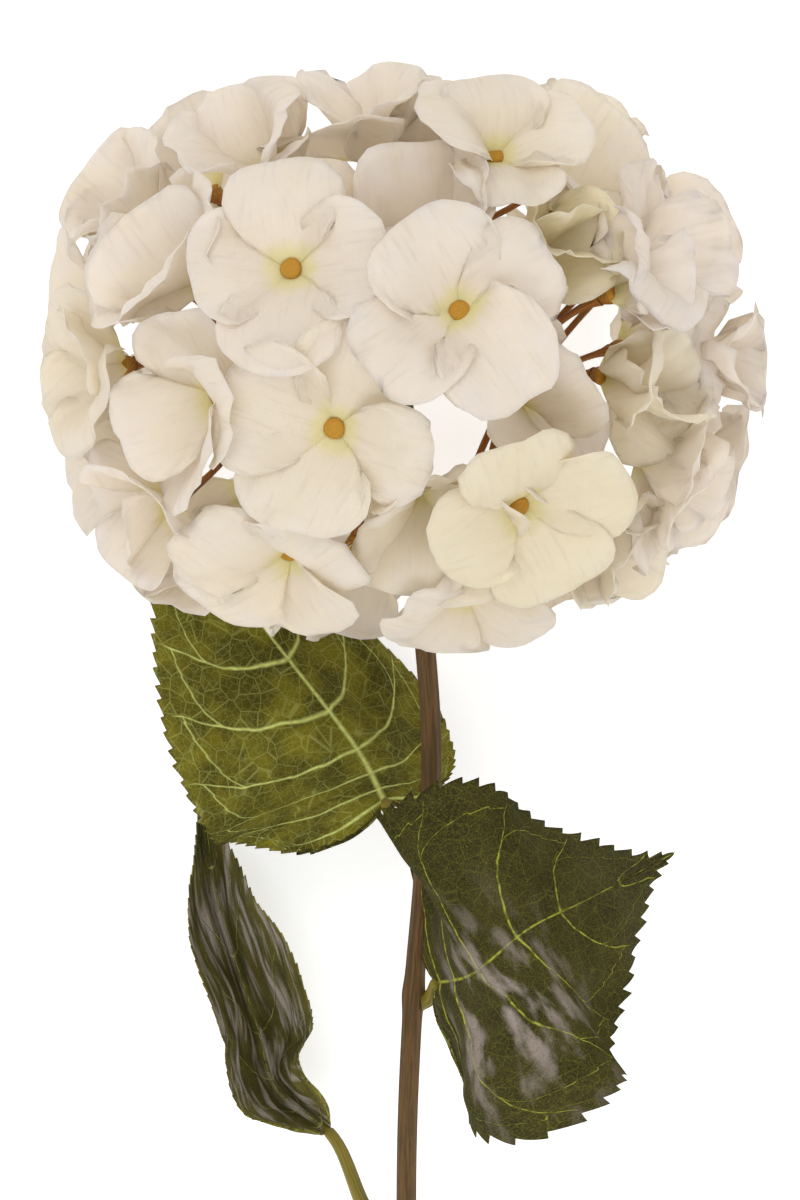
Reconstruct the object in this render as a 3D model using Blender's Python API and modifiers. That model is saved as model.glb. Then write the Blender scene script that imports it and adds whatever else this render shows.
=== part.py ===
"""A cut mop-head hydrangea, laid on its back on a flat surface.

The head is a ball of four-petalled florets. Their pedicels spring from the knobbed ends of
seven rays at the stem's top. Three leaves stand on stalks along the stem.
Metres, +Z up, the stem along Y with the head towards +Y. The origin is on the surface,
under the middle of the whole piece. Until the last step, everything is placed from the
head's centre, which is where the rays meet.
"""

import math
from itertools import product

import bmesh
import bpy
from mathutils import Matrix, Vector
from mathutils.bvhtree import BVHTree

# The head: how far the florets' seats lie from its centre, along each axis.
HEAD_ACROSS = 0.080
HEAD_ALONG = 0.066
HEAD_ABOVE = 0.076
HEAD_BELOW = 0.070
# The weight of the head presses the petals under it flatter, below this height.
PRESSED_BELOW = -0.0710
PRESSED_TO = 0.15

# A floret.
PETAL_LENGTH = 0.0245
PETAL_THICKNESS = 0.0008
PETAL_ARC = 1.06
PETAL_FALL = 0.20
NOTCH = 0.30
EYE_RADIUS = 0.0026
EYE_TOP = 0.0034
EYE_FOOT = 0.0012
CALYX_RADIUS = 0.0019
PEDICEL_RADIUS = 0.0010
FLORET_STEPS = 16
PETALS = 4
DRAW_STEP = 0.0015
# The shares of its own spread that a crowded floret may have, each with how many steps in
# it is drawn. A floret that spreads less has steeper petals, and sits deeper in the head.
CROWDED = ((1, 6), (0.92, 8), (0.84, 11), (0.76, 14), (0.66, 16), (0.56, 16))
SITS_DEEPER = 0.045
ROLLS_TRIED = (0, 30, 60)
KNOBS_TRIED = 3
CLEARANCE = 0.0005

# The rays between the stem's top and the pedicels.
GAP = 0.0003
RAY_NEAREST = 0.0030
RAY_STEP = 0.0001
RAY_LENGTH = 0.038
RAY_RADIUS = 0.0015
KNOB_RADIUS = 0.0038
RAY_STEPS = 10

# The stem.
STEM_RADIUS = 0.00265
STEM_TOP_RADIUS = 0.0042
STEM_CROWN = 0.0023
STEM_SIDES = 2
STEM_LENGTH_BELOW = 0.385
FLOOR = -0.0728

# A leaf's blade.
LEAF_THICKNESS = 0.0008
LEAF_ROWS = 12
LEAF_COLUMNS = 8
BLADE_START = 0.01
TIP_DRAWN_OUT = 0.8
STALK_RADIUS = 0.0021
STALK_STEPS = 6
STALK_GAP = 0.0009

# Each floret's place: longitude round the stem's line, from straight up towards +X;
# latitude, towards the head's crown; the roll of its petals about its own axis; how far
# it leans to the right and up; and how far its petals spread, where 1 is nearly flat.
# The ones that stand proud come first, and each later one is drawn in until it is clear.
FLORETS = (
    (-19, 13, 2, 4, -3, 1.00),
    (10, 4, 27, -4, 0, 1.00),
    (-12, -20, 10, 3, 5, 1.00),
    (26, -37, 30, -2, 8, 1.00),
    (23, 43, -4, -4, -5, 0.95),
    (-42, 16, 8, -15, 4, 0.90),
    (-68, -4, 40, 8, -6, 0.85),
    (-64, -37, 15, 10, 6, 0.95),
    (40, 9, 50, 22, 12, 0.95),
    (-38, 46, 30, 12, -8, 0.80),
    (-34, -52, 50, 0, 14, 0.95),
    (8, 27, 10, -8, 14, 0.80),
    (64, 22, 25, -12, -4, 0.85),
    (80, -4, 60, -12, 8, 0.80),
    (62, 48, 20, -10, -10, 0.80),
    (-72, 30, 65, 10, 4, 0.80),
    (-12, 62, 55, -8, -10, 0.80),
    (66, -26, 10, 6, -10, 0.85),
    (30, -68, 60, -8, 12, 0.95),
    (-37, -14, 35, -14, -8, 0.85),
    (33, 25, 45, 10, -16, 0.75),
    (28, -16, 75, 3, 2, 0.90),
    (72, -50, 40, -12, 10, 0.85),
    (-90, 14, 5, 6, -6, 0.80),
    (-92, -22, 20, 6, 8, 0.85),
    (-100, -54, 35, 8, -10, 0.80),
    (30, 72, 80, -10, 6, 0.75),
    (-110, 46, 50, -8, -10, 0.85),
    (100, 26, 10, 8, 10, 0.80),
    (104, -24, 70, -10, -8, 0.85),
    (112, 54, 25, 6, -12, 0.85),
    (-120, 20, 5, -10, 6, 0.85),
    (-122, -14, 60, 8, -8, 0.90),
    (128, 4, 15, -8, 8, 0.85),
    (136, 32, 30, 10, 6, 0.85),
    (5, -45, 20, 0, 0, 0.85),
    (-150, 32, 45, -8, 6, 0.90),
    (54, -9, 20, -4, 0, 0.85),
    (-174, 12, 65, 4, 8, 0.95),
    (178, 44, 55, -8, -8, 0.85),
    (-172, -20, 40, 5, -6, 0.95),
    (-136, -36, 30, -8, 8, 0.90),
    (134, -40, 50, 8, -6, 0.90),
    (170, -50, 20, -6, 8, 0.90),
    (-160, -60, 70, 6, -8, 0.90),
    (100, -60, 10, -10, 6, 0.85),
)

# The rays' directions, as longitude and latitude.
RAYS = ((50, -16), (-22, -14), (-94, -18), (-166, -14), (122, -16), (14, 48), (-166, 50))


def direction(longitude, latitude):
    """The unit vector from the head's centre towards a place on the head."""
    lon, lat = math.radians(longitude), math.radians(latitude)
    return Vector(
        (math.cos(lat) * math.sin(lon), math.sin(lat), math.cos(lat) * math.cos(lon))
    )


def seat(longitude, latitude):
    """Where a floret sits before it is drawn in, and the way that it faces."""
    axis = direction(longitude, latitude)
    depth = HEAD_ABOVE if axis.z > 0 else HEAD_BELOW
    return Vector((axis.x * HEAD_ACROSS, axis.y * HEAD_ALONG, axis.z * depth)), axis


def frame_about(axis):
    """The directions right and up, seen along an axis from outside the head."""
    up = (Vector((0, 1, 0)) - axis * axis.y).normalized()
    return up.cross(axis), up


def leaning(axis, right_lean, up_lean):
    """The axis tipped to the right and up by two angles in degrees."""
    right, up = frame_about(axis)
    sideways = right * math.tan(math.radians(right_lean))
    return (axis + sideways + up * math.tan(math.radians(up_lean))).normalized()


def facing(axis, roll):
    """The rotation that turns a floret's own Z to its axis, and rolls it about that."""
    right, up = frame_about(axis)
    turn = Matrix((right, up, axis)).transposed()
    return turn @ Matrix.Rotation(math.radians(roll), 3, "Z")


def bezier(ends, t):
    """The point of a cubic curve, and its direction there."""
    a, b, c, d = ends
    point = a * (1 - t) ** 3 + 3 * b * t * (1 - t) ** 2 + 3 * c * t**2 * (1 - t) + d * t**3
    slope = (b - a) * (1 - t) ** 2 + 2 * (c - b) * t * (1 - t) + (d - c) * t**2
    return point, slope.normalized()


def pressed(point):
    """The point, moved up where the head's weight presses it against the surface."""
    if point.z >= PRESSED_BELOW:
        return point
    return Vector((point.x, point.y, PRESSED_BELOW + (point.z - PRESSED_BELOW) * PRESSED_TO))


def material(name, colour, roughness):
    """A plain material in the piece's own colour."""
    made = bpy.data.materials.get(name) or bpy.data.materials.new(name)
    made.use_nodes = True
    shader = made.node_tree.nodes["Principled BSDF"]
    shader.inputs["Base Color"].default_value = (*colour, 1)
    shader.inputs["Roughness"].default_value = roughness
    shader.inputs["Metallic"].default_value = 0
    return made


def finished(name, mesh, collection, finish):
    """The mesh as a named object in the collection, smooth where it is round."""
    piece = bpy.data.objects.new(name, mesh)
    mesh.materials.append(finish)
    mesh.shade_smooth()
    mesh.set_sharp_from_angle(angle=math.radians(50))
    collection.objects.link(piece)
    return piece


def turned(profile, steps):
    """A bmesh turned about Z from a profile of radius and height, closed on the axis."""
    shape = bmesh.new()
    points = [shape.verts.new((radius, 0, height)) for radius, height in profile]
    edges = [shape.edges.new(pair) for pair in zip(points, points[1:])]
    bmesh.ops.spin(
        shape, geom=points + edges, cent=(0, 0, 0), axis=(0, 0, 1),
        angle=2 * math.pi, steps=steps, use_merge=True,
    )
    bmesh.ops.remove_doubles(shape, verts=shape.verts, dist=1e-6)
    bmesh.ops.recalc_face_normals(shape, faces=shape.faces)
    return shape


def floret_profile(thickness):
    """A floret as it is turned: the eye, a flat blade with a thin rim, and the pedicel."""
    half = thickness / 2
    middle = 0.55 * PETAL_LENGTH
    return (
        (0, EYE_TOP),
        (EYE_RADIUS, EYE_TOP),
        (EYE_RADIUS * 0.9, EYE_FOOT),
        (middle, half),
        (PETAL_LENGTH, 0),
        (middle, -half),
        (CALYX_RADIUS, -EYE_FOOT),
        (PEDICEL_RADIUS, -0.5),
        (PEDICEL_RADIUS, -1),
        (0, -1),
    )


def petal_point(point, spread):
    """A point of the flat blade, drawn in between the petals and lifted into a cup."""
    rise = PETAL_FALL + math.sqrt((PETAL_ARC / spread) ** 2 - 1)
    radius = math.hypot(point.x, point.y)
    share = radius / PETAL_LENGTH
    step = 2 * math.pi / PETALS
    off = (math.atan2(point.y, point.x) + step / 2) % step - step / 2
    lobe = 1 - NOTCH * share * (2 * abs(off) / step) ** 3
    lift = PETAL_LENGTH * (rise * share - PETAL_FALL * share**2)
    return Vector((point.x * lobe, point.y * lobe, point.z + lift * lobe))


def pedicel_ends(foot, axis, knob):
    """The cubic curve from a floret's foot down to the nearest side of its knob."""
    reach = (foot - knob).length
    toward = (foot - axis * reach * 0.4 - knob).normalized()
    end = knob + toward * (KNOB_RADIUS + GAP)
    return (foot, foot - axis * reach * 0.4, end + toward * reach * 0.25, end)


def floret_shape(place, axis, roll, knob, spread, thickness):
    """A floret's bmesh in its place: eye, petals and pedicel in one body."""
    shape = turned(floret_profile(thickness), FLORET_STEPS)
    turn = facing(axis, roll)
    foot = place - axis * EYE_FOOT
    ends = pedicel_ends(foot, axis, knob)
    for vert in shape.verts:
        point = vert.co.copy()
        if point.z < -2 * EYE_FOOT:
            middle, slope = bezier(ends, -point.z)
            ring = turn @ Vector((point.x, point.y, 0))
            vert.co = middle + (-axis).rotation_difference(slope) @ ring
            continue
        if math.hypot(point.x, point.y) > 1.5 * EYE_RADIUS:
            point = petal_point(point, spread) * spread
        vert.co = pressed(place + turn @ point)
    return shape


def tree_of(shape):
    """The shape's faces, ready to be tested against another's."""
    shape.verts.ensure_lookup_table()
    shape.verts.index_update()
    return BVHTree.FromPolygons(
        [vert.co.copy() for vert in shape.verts],
        [[vert.index for vert in face.verts] for face in shape.faces],
    )


def knob_centres():
    """The middle of the knob at each ray's end."""
    return [direction(*ray) * RAY_LENGTH for ray in RAYS]


def clear_floret(start, inward, axis, roll, spread, placed):
    """The first place, roll, knob and spread at which a floret clears all that is placed."""
    start = start + inward * (1 - spread) * SITS_DEEPER
    knobs = sorted(knob_centres(), key=lambda centre: (centre - start).length)[:KNOBS_TRIED]
    for share, draws in CROWDED:
        for step, more, knob in product(range(draws), ROLLS_TRIED, knobs):
            place = start + inward * step * DRAW_STEP
            fit = (place, axis, roll + more, knob, spread * share)
            trial = floret_shape(*fit, PETAL_THICKNESS + 2 * CLEARANCE)
            tree = tree_of(trial)
            trial.free()
            if not any(tree.overlap(other) for other in placed):
                return fit
    return fit


def add_florets(collection):
    """Seats the florets one after another, each drawn in until it clears the others."""
    finish = material("petal", (0.80, 0.74, 0.66), 0.7)
    placed = obstacles(collection)
    for number, row in enumerate(FLORETS, 1):
        longitude, latitude, roll, right_lean, up_lean, spread = row
        start, outward = seat(longitude, latitude)
        axis = leaning(outward, right_lean, up_lean)
        fit = clear_floret(start, -outward, axis, roll, spread, placed)
        shape = floret_shape(*fit, PETAL_THICKNESS)
        placed.append(tree_of(shape))
        mesh = bpy.data.meshes.new(f"floret_{number:02d}")
        shape.to_mesh(mesh)
        shape.free()
        finished(f"floret_{number:02d}", mesh, collection, finish)


def obstacles(collection):
    """The pieces made so far, as trees that a floret's faces are tested against."""
    bpy.context.view_layer.update()
    graph = bpy.context.evaluated_depsgraph_get()
    return [BVHTree.FromObject(piece, graph) for piece in collection.objects]


def ray_shape(ray, start, grown):
    """A ray's bmesh: a slim turned rod with a knob at its outer end, grown at its foot."""
    profile = (
        (0, start - grown),
        (RAY_RADIUS + grown, start - grown),
        (RAY_RADIUS, RAY_LENGTH - KNOB_RADIUS * 1.6),
        (KNOB_RADIUS * 0.8, RAY_LENGTH - KNOB_RADIUS * 0.6),
        (KNOB_RADIUS, RAY_LENGTH),
        (KNOB_RADIUS * 0.7, RAY_LENGTH + KNOB_RADIUS * 0.7),
        (0, RAY_LENGTH + KNOB_RADIUS),
    )
    shape = turned(profile, RAY_STEPS)
    turn = Vector((0, 0, 1)).rotation_difference(direction(*ray)).to_matrix()
    bmesh.ops.rotate(shape, verts=shape.verts, matrix=turn)
    return shape


def add_rays(collection):
    """The seven rays, each starting as near the stem's top as it can without touching."""
    finish = material("pedicel", (0.45, 0.24, 0.06), 0.5)
    stem = obstacles(collection)[0]
    for number, ray in enumerate(RAYS, 1):
        start = RAY_NEAREST
        while tree_of(ray_shape(ray, start, GAP)).overlap(stem):
            start += RAY_STEP
        shape = ray_shape(ray, start, 0)
        mesh = bpy.data.meshes.new(f"ray_{number}")
        shape.to_mesh(mesh)
        shape.free()
        finished(f"ray_{number}", mesh, collection, finish)


def through(points, count):
    """Evenly shared points on a smooth curve through the given ones."""
    padded = [2 * points[0] - points[1], *points, 2 * points[-1] - points[-2]]
    spans = len(points) - 1
    found = []
    for step in range(count):
        place = step / (count - 1) * spans
        span = min(int(place), spans - 1)
        t = place - span
        a, b, c, d = padded[span : span + 4]
        found.append(
            0.5 * (2 * b + (c - a) * t + (2 * a - 5 * b + 4 * c - d) * t**2
                   + (3 * b - a - 3 * c + d) * t**3)
        )
    return found


def rod(name, points, radii, sides, collection, finish):
    """A round rod along the points, with flat ends, as one closed mesh."""
    line = bpy.data.curves.new(name, "CURVE")
    line.dimensions = "3D"
    line.bevel_depth = 1
    line.bevel_resolution = sides
    line.use_fill_caps = True
    spline = line.splines.new("POLY")
    spline.points.add(len(points) - 1)
    for control, point, radius in zip(spline.points, points, radii):
        control.co = (*point, 1)
        control.radius = radius
    piece = bpy.data.objects.new(name, line)
    line.materials.append(finish)
    collection.objects.link(piece)
    return piece


def stem_points():
    """The stem's line: gently bowed, from the head's centre down to the surface."""
    end = -STEM_LENGTH_BELOW
    low = FLOOR + STEM_RADIUS
    return [
        Vector((0, STEM_CROWN, 0)),
        Vector((0.0020, -0.030, low * 0.08)),
        Vector((0.0062, -0.070, low * 0.19)),
        Vector((0.0084, -0.105, low * 0.28)),
        Vector((0.0062, -0.140, low * 0.37)),
        Vector((0.0034, -0.175, low * 0.46)),
        Vector((0.0018, -0.225, low * 0.60)),
        Vector((0.0030, -0.300, low * 0.79)),
        Vector((0.0010, end, low)),
    ]


def add_stem(collection):
    """The stem, swollen at its top where the rays leave it."""
    points = through(stem_points(), 25)
    radii = [STEM_RADIUS] * len(points)
    radii[0] = STEM_TOP_RADIUS
    radii[1] = STEM_RADIUS * 1.15
    rod("stem", points, radii, STEM_SIDES, collection, material("stem", (0.17, 0.08, 0.04), 0.5))


def blade_half_width(share):
    """The share of its half width that a blade has at a share of its length."""
    body = math.sin(math.pi * share**0.76) ** 0.72
    return body * (1 - TIP_DRAWN_OUT * max(0, share - 0.6))


def blade_point(leaf, share, across):
    """A point of a leaf's blade, from its midrib's points and its fold."""
    ribs = through(leaf["midrib"], 41)
    low = min(int(share * 40), 39)
    middle = ribs[low].lerp(ribs[low + 1], share * 40 - low)
    along = (ribs[low + 1] - ribs[low]).normalized()
    normal = (leaf["normal"] - along * along.dot(leaf["normal"])).normalized()
    side = along.cross(normal) * math.copysign(1, across)
    half_width, fold = leaf["left"] if across < 0 else leaf["right"]
    width = half_width * blade_half_width(share) * abs(across)
    angle = math.radians(fold) + leaf["curl"] * across**2
    return middle + side * width * math.cos(angle) + normal * width * math.sin(angle)


# Each leaf, from the head's centre. The left and the right give each half of the blade its
# width, and how far it is raised from flat, in degrees. The curl is how much further its edge
# turns, in radians. The stalk leaves the stem so far along, on the side towards +X or -X.
LEAVES = {
    "leaf_under_head": {
        "midrib": [
            Vector((-0.0040, -0.118, -0.031)), Vector((-0.0130, -0.102, -0.037)),
            Vector((-0.0367, -0.072, -0.048)), Vector((-0.0650, -0.036, -0.060)),
        ],
        "normal": Vector((0.1, 0.1, 1)),
        "left": (0.049, 0),
        "right": (0.039, -30),
        "curl": -0.08,
        "along": -0.130,
        "side": -1,
    },
    "leaf_right": {
        "midrib": [
            Vector((0.0095, -0.1660, -0.023)), Vector((0.0190, -0.1600, 0.006)),
            Vector((0.0330, -0.1480, 0.012)), Vector((0.0490, -0.1410, 0.004)),
            Vector((0.0700, -0.1330, -0.024)),
        ],
        "normal": Vector((-0.05, 0.12, 1)),
        "left": (0.0475, -2),
        "right": (0.0460, -2),
        "curl": 0,
        "along": -0.171,
        "side": 1,
    },
    "leaf_left": {
        "midrib": [
            Vector((-0.0205, -0.211, -0.061)), Vector((-0.0349, -0.200, -0.067)),
            Vector((-0.0410, -0.181, -0.0712)), Vector((-0.0505, -0.151, -0.070)),
            Vector((-0.0545, -0.124, -0.063)),
        ],
        "normal": Vector((0.0, 0.0, 1)),
        "left": (0.039, 74),
        "right": (0.039, 58),
        "curl": 0.1,
        "along": -0.236,
        "side": -1,
    },
}


def stalk_points(leaf):
    """A leaf stalk's line, from just off the stem's side to just short of its blade."""
    line = through(stem_points(), 101)
    node = min(line, key=lambda point: abs(point.y - leaf["along"]))
    out = Vector((leaf["side"], 0, 0))
    start = node + out * (STEM_RADIUS + STALK_GAP)
    base, beyond = leaf["midrib"][:2]
    run = (beyond - base).normalized()
    end = base + run * (BLADE_START * (beyond - base).length)
    reach = (end - start).length / 3
    ends = (start, start + out * reach, end - run * reach, end)
    return [bezier(ends, step / STALK_STEPS)[0] for step in range(STALK_STEPS + 1)]


def add_leaves(collection):
    """The leaves: each blade a thin shell, standing on a stalk of its own."""
    blade_finish = material("leaf", (0.05, 0.07, 0.02), 0.45)
    stalk_finish = material("leaf_stalk", (0.22, 0.20, 0.03), 0.5)
    for name, leaf in LEAVES.items():
        shape = bmesh.new()
        bmesh.ops.create_grid(
            shape, x_segments=LEAF_ROWS, y_segments=LEAF_COLUMNS, size=0.5
        )
        for vert in shape.verts:
            share = BLADE_START + (vert.co.x + 0.5) * (1 - 2 * BLADE_START)
            vert.co = blade_point(leaf, share, 2 * vert.co.y)
        mesh = bpy.data.meshes.new(name)
        shape.to_mesh(mesh)
        shape.free()
        piece = finished(name, mesh, collection, blade_finish)
        shell = piece.modifiers.new("thickness", "SOLIDIFY")
        shell.thickness = LEAF_THICKNESS
        shell.offset = 0
        stalk = stalk_points(leaf)
        stalk_name = name.replace("leaf", "stalk")
        rod(stalk_name, stalk, [STALK_RADIUS] * len(stalk), 1, collection, stalk_finish)


def set_down(collection):
    """Moves every piece so that the origin is on the surface, under the middle of the whole."""
    bpy.context.view_layer.update()
    graph = bpy.context.evaluated_depsgraph_get()
    corners = []
    for piece in collection.objects:
        mesh = piece.evaluated_get(graph).to_mesh()
        corners += [vert.co.copy() for vert in mesh.vertices]
    low = Vector([min(corner[axis] for corner in corners) for axis in range(3)])
    high = Vector([max(corner[axis] for corner in corners) for axis in range(3)])
    shift = Vector(((low.x + high.x) / 2, (low.y + high.y) / 2, low.z))
    for piece in collection.objects:
        piece.location = -shift


def main():
    """Builds the flower into its own collection."""
    for leftover in list(bpy.data.objects):
        bpy.data.objects.remove(leftover)
    collection = bpy.data.collections.new("cut_hydrangea")
    bpy.context.scene.collection.children.link(collection)
    add_stem(collection)
    add_rays(collection)
    add_leaves(collection)
    add_florets(collection)
    set_down(collection)


main()
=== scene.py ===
"""The look of a cut mop-head hydrangea in woven silk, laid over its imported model.

The head is a ball of florets, each with four thin petals, an eye and a pedicel. The pedicels
meet on the knobs of seven rays at the stem's top. Three toothed leaves stand on stalks.
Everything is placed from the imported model: the head's middle is where the rays' lines meet,
and each floret's place, size and roll are read from its own solid.
"""

from __future__ import annotations

import logging
import math
from dataclasses import dataclass, field, replace
from enum import Enum
from typing import Iterable, Sequence, Union

import bmesh
import bpy
import numpy as np
from mathutils import Matrix, Vector


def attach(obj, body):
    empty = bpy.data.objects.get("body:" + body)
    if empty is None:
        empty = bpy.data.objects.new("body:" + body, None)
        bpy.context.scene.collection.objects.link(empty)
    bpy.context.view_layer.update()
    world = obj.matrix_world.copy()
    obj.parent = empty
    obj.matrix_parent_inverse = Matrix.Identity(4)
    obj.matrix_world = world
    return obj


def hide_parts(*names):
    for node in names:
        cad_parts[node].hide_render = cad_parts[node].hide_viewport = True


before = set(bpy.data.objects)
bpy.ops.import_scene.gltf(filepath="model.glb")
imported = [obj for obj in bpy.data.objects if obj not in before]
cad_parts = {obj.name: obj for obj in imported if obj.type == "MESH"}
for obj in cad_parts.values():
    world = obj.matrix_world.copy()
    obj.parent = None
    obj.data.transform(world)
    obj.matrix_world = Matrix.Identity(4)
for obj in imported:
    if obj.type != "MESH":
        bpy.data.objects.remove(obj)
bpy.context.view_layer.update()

LOG = logging.getLogger("hydrangea")
MM = 0.001
BODY = "root"
Colour = tuple[float, float, float]
Array = np.ndarray


# ---------------------------------------------------------------- node writing


class Term:
    """A value in a node tree that can be reckoned with like a number."""

    def __init__(self, tree: bpy.types.NodeTree, socket: bpy.types.NodeSocket) -> None:
        """Wraps an output socket.

        Args:
            tree: the tree that the socket is in.
            socket: the output socket that gives the value.
        """
        self.tree = tree
        self.socket = socket

    def math(self, operation: str, *others: "Value") -> "Term":
        """Adds a Math node that works on this value.

        Args:
            operation: the Math node's operation.
            others: the node's other values.

        Returns:
            The node's result.
        """
        node = self.tree.nodes.new("ShaderNodeMath")
        node.operation = operation
        for place, value in enumerate((self, *others)):
            feed(self.tree, value, node.inputs[place])
        return Term(self.tree, node.outputs[0])

    def __add__(self, other: "Value") -> "Term":
        """The sum."""
        return self.math("ADD", other)

    def __radd__(self, other: "Value") -> "Term":
        """The sum, with a plain number first."""
        return self.math("ADD", other)

    def __sub__(self, other: "Value") -> "Term":
        """The difference."""
        return self.math("SUBTRACT", other)

    def __rsub__(self, other: "Value") -> "Term":
        """The difference, with a plain number first."""
        return (self * -1) + other

    def __mul__(self, other: "Value") -> "Term":
        """The product."""
        return self.math("MULTIPLY", other)

    def __rmul__(self, other: "Value") -> "Term":
        """The product, with a plain number first."""
        return self.math("MULTIPLY", other)

    def __truediv__(self, other: "Value") -> "Term":
        """The quotient."""
        return self.math("DIVIDE", other)

    def __pow__(self, other: "Value") -> "Term":
        """The power."""
        return self.math("POWER", other)

    def bump(self, width: "Value") -> "Term":
        """A soft bump: 1 where this value is 0, falling off to 0 at the width on each side.

        Args:
            width: how far the bump reaches.

        Returns:
            The bump's height.
        """
        return (1 - (self.math("ABSOLUTE") / width)).ramp(0.0, 1.0)

    def ramp(self, low: "Value", high: "Value") -> "Term":
        """A smooth step from 0 at the low value to 1 at the high one.

        Args:
            low: where the step starts.
            high: where it ends.

        Returns:
            The step.
        """
        node = self.tree.nodes.new("ShaderNodeMapRange")
        node.interpolation_type = "SMOOTHSTEP"
        for name, value in (("Value", self), ("From Min", low), ("From Max", high)):
            feed(self.tree, value, node.inputs[name])
        return Term(self.tree, node.outputs["Result"])


Value = Union[Term, float, int]


def feed(tree: bpy.types.NodeTree, value: object, socket: bpy.types.NodeSocket) -> None:
    """Gives an input socket its value.

    Args:
        tree: the tree that the socket is in.
        value: a term or output socket to link, or a plain value to set.
        socket: the input socket.
    """
    if isinstance(value, Term):
        tree.links.new(value.socket, socket)
    elif isinstance(value, bpy.types.NodeSocket):
        tree.links.new(value, socket)
    else:
        socket.default_value = value


class Writer:
    """A node tree being written, with the steps that the pieces and finishes share."""

    def __init__(self, tree: bpy.types.NodeTree) -> None:
        """Starts from an empty tree.

        Args:
            tree: the tree to fill.
        """
        self.tree = tree
        tree.nodes.clear()

    def node(self, kind: str, inputs: dict | None = None, **settings: object) -> bpy.types.Node:
        """Adds a node.

        Args:
            kind: the node's type.
            inputs: its inputs' values by name or place.
            settings: its own settings.

        Returns:
            The node.
        """
        made = self.tree.nodes.new(kind)
        for name, value in settings.items():
            setattr(made, name, value)
        for name, value in (inputs or {}).items():
            feed(self.tree, value, made.inputs[name])
        return made

    def term(self, socket: bpy.types.NodeSocket) -> Term:
        """An output socket as a term."""
        return Term(self.tree, socket)

    def vector(self, x: Value, y: Value, z: Value) -> Term:
        """Three values as one vector."""
        made = self.node("ShaderNodeCombineXYZ", {0: x, 1: y, 2: z})
        return self.term(made.outputs[0])

    def parts(self, vector: object) -> tuple[Term, Term, Term]:
        """A vector's three values."""
        made = self.node("ShaderNodeSeparateXYZ", {0: vector})
        return tuple(self.term(made.outputs[place]) for place in range(3))

    def noise(self, vector: object, scale: Value, detail: float = 2.0) -> Term:
        """Smooth noise from 0 to 1.

        Args:
            vector: where it is read.
            scale: how fine it is.
            detail: how many finer layers it has.

        Returns:
            The noise.
        """
        made = self.node(
            "ShaderNodeTexNoise", {"Vector": vector, "Scale": scale, "Detail": detail}
        )
        return self.term(made.outputs[0])

    def cells(self, vector: object, scale: Value) -> Term:
        """How far each place is from the nearest border between irregular cells.

        Args:
            vector: where it is read.
            scale: how fine the cells are.

        Returns:
            The distance, as a share of a cell.
        """
        made = self.node(
            "ShaderNodeTexVoronoi", {"Vector": vector, "Scale": scale},
            feature="DISTANCE_TO_EDGE",
        )
        return self.term(made.outputs["Distance"])

    def attribute(self, name: str) -> bpy.types.NodeSocket:
        """A shader's reading of one of the mesh's attributes, as a vector."""
        return self.node(
            "ShaderNodeAttribute", attribute_name=name, attribute_type="GEOMETRY"
        ).outputs["Vector"]

    def blend(self, share: Value, first: object, second: object) -> bpy.types.NodeSocket:
        """Two colours mixed.

        Args:
            share: how much of the second there is.
            first: the first colour.
            second: the second colour.

        Returns:
            The mixed colour.
        """
        made = self.node("ShaderNodeMix", data_type="RGBA")
        for place, value in ((0, share), (6, first), (7, second)):
            if isinstance(value, tuple):
                value = (*value, 1)
            feed(self.tree, value, made.inputs[place])
        return made.outputs[2]

    def relief(self, height: Term, depth: float) -> bpy.types.NodeSocket:
        """A normal that stands for fine relief.

        Args:
            height: the relief's height, from 0 to 1.
            depth: what a height of 1 stands for, in metres.

        Returns:
            The normal.
        """
        made = self.node(
            "ShaderNodeBump", {"Height": height, "Distance": depth, "Strength": 1.0}
        )
        return made.outputs["Normal"]


# -------------------------------------------------------------------- finishes


@dataclass(frozen=True)
class Finish:
    """A finish with a name and a Principled shader, which each kind of surface fills in."""

    name: str = "finish"
    roughness: float = 0.6
    specular: float = 0.3
    sheen: float = 0.0
    sheen_tint: Colour = (1.0, 1.0, 1.0)
    sheen_roughness: float = 0.5
    glow: float = 0.0
    lit: float = 0.0

    def surface(self, write: Writer) -> tuple[object, object]:
        """The finish's colour and its fine relief.

        Args:
            write: the writer for the material's tree.

        Returns:
            The base colour and the normal.
        """
        raise NotImplementedError

    def material(self) -> bpy.types.Material:
        """Makes the material, once.

        Returns:
            The material.
        """
        if self.name in bpy.data.materials:
            return bpy.data.materials[self.name]
        made = bpy.data.materials.new(self.name)
        made.use_nodes = True
        write = Writer(made.node_tree)
        colour, normal = self.surface(write)
        shader = write.node(
            "ShaderNodeBsdfPrincipled",
            {
                "Base Color": colour,
                "Normal": normal,
                "Roughness": self.roughness,
                "Specular IOR Level": self.specular,
                "Sheen Weight": self.sheen,
                "Sheen Roughness": self.sheen_roughness,
                "Sheen Tint": (*self.sheen_tint, 1),
            },
        )
        shader.inputs["Emission Color"].default_value = (1, 1, 1, 1)
        shader.inputs["Emission Strength"].default_value = self.lit
        shown = shader.outputs[0]
        if self.glow:
            through = write.node("ShaderNodeBsdfTranslucent", {"Color": colour, "Normal": normal})
            mixed = write.node("ShaderNodeMixShader", {0: self.glow})
            write.tree.links.new(shown, mixed.inputs[1])
            write.tree.links.new(through.outputs[0], mixed.inputs[2])
            shown = mixed.outputs[0]
        output = write.node("ShaderNodeOutputMaterial")
        write.tree.links.new(shown, output.inputs["Surface"])
        return made


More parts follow.
